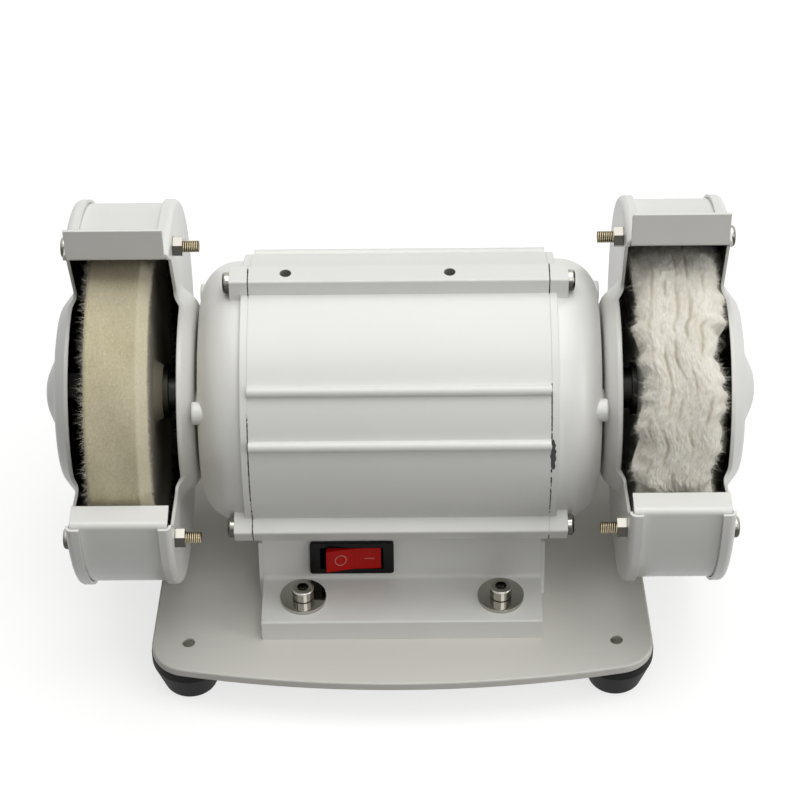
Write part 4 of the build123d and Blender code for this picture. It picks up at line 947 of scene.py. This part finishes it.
def rocker_ring(name, centre, radius, line):
    """Raised ring on the rocker's face: a rectangular section carried round a circle."""
    turn = np.arange(64) * TURN / 64
    rows = []
    for side, lift in MARK_SECTION:
        r = radius + side * line / 2
        rows.append(on_rocker(centre + r * np.cos(turn), r * np.sin(turn), lift * MARK_T))
    mesh = grid_mesh(name, np.stack(rows, axis=1), np.zeros((65, 5, 2)), close_rows=True, close_columns=True)
    add_piece(name, mesh, materials["mark"], "rocker")


def rocker_bar(name, centre, half, line):
    """Raised bar on the rocker's face: a rectangular section carried along it, with closed ends."""
    x = centre + half * np.linspace(-1, 1, 9)
    rows = [on_rocker(x, np.full_like(x, side * line / 2), lift * MARK_T) for side, lift in MARK_SECTION]
    mesh = grid_mesh(name, np.stack(rows, axis=1), np.zeros((9, 5, 2)), close_columns=True, fill_ends=True)
    add_piece(name, mesh, materials["mark"], "rocker")


rocker_ring("rocker_mark_off", -0.0050, 0.0022, 0.00032)
rocker_bar("rocker_mark_on", 0.0063, 0.0020, 0.00034)


def white_to_lens(tree):
    """1 for rays that look, reflect or pass straight at the surroundings, 0 for those that carry their light."""
    paths = add_node(tree, "ShaderNodeLightPath").outputs
    seen = math_node(tree, "MAXIMUM", paths["Is Camera Ray"], paths["Is Glossy Ray"])
    return math_node(tree, "MAXIMUM", seen, paths["Is Transmission Ray"])


# Floor: half its width, the grey that lights the machine and the grey that is seen, and its glow near and far
FLOOR_HALF = 6.0
FLOOR_GIVES, FLOOR_SHOWS = (0.22, 0.22, 0.215, 1), (0.42, 0.42, 0.415, 1)
GLOW_NEAR, GLOW_GAIN = 0.72, 0.4
GLOW_FROM, GLOW_TO = 0.25, 1.6


def studio_floor():
    """Pale floor that keeps the machine's shadow and fades to white away from it."""
    mesh = bpy.data.meshes.new("studio_floor")
    corners = [(x * FLOOR_HALF, y * FLOOR_HALF, 0) for x, y in ((-1, -1), (1, -1), (1, 1), (-1, 1))]
    mesh.from_pydata(corners, [], [(0, 1, 2, 3)])
    floor = bpy.data.objects.new("studio_floor", mesh)
    scene.collection.objects.link(floor)
    material, tree, shader = new_material("studio_floor", Roughness=0.95, Specular_IOR_Level=0.0)
    seen = white_to_lens(tree)
    tree.links.new(mix_colour(tree, seen, FLOOR_GIVES, FLOOR_SHOWS), shader.inputs["Base Color"])
    shader.inputs["Emission Color"].default_value = (1, 1, 1, 1)
    away = vector_node(tree, "LENGTH", add_node(tree, "ShaderNodeTexCoord").outputs["Object"])[1]
    glow = math_node(tree, "MULTIPLY_ADD", ramp(tree, away, GLOW_FROM, GLOW_TO), GLOW_GAIN, GLOW_NEAR)
    tree.links.new(math_node(tree, "MULTIPLY", seen, glow), shader.inputs["Emission Strength"])
    mesh.materials.append(material)


def studio_world():
    """Dim room, brighter overhead and to the right, that looks white."""
    world = bpy.data.worlds.new("studio_world")
    scene.world = world
    world.use_nodes = True
    tree = world.node_tree
    direction = add_node(tree, "ShaderNodeTexCoord").outputs["Generated"]
    height = vector_node(tree, "DOT_PRODUCT", direction, (0.4, 0.0, 1.0))[1]
    room = math_node(tree, "MULTIPLY_ADD", ramp(tree, height, -0.3, 1.0), 0.25, 0.055)
    power = add_node(tree, "ShaderNodeMix", {0: white_to_lens(tree), 2: room, 3: 1.0}, data_type="FLOAT")
    background = tree.nodes["Background"]
    background.inputs["Color"].default_value = (1.0, 0.995, 0.97, 1)
    tree.links.new(power.outputs[0], background.inputs["Strength"])


def studio_lamp(name, place, size, watts):
    """Square soft box that looks at the machine."""
    lamp = bpy.data.lights.new(name, "AREA")
    lamp.size = size
    lamp.energy = watts
    holder = bpy.data.objects.new(name, lamp)
    aim = (Vector((0, 0, 0.1)) - Vector(place)).to_track_quat("-Z", "Y")
    holder.matrix_world = Matrix.Translation(place) @ aim.to_matrix().to_4x4()
    scene.collection.objects.link(holder)


studio_floor()
studio_world()
studio_lamp("overhead", (0.10, 0.05, 1.45), 1.25, 12.8)
studio_lamp("right_side", (1.25, -0.50, 0.45), 0.7, 4.6)
studio_lamp("front", (0.40, -1.10, 1.25), 0.7, 2.9)
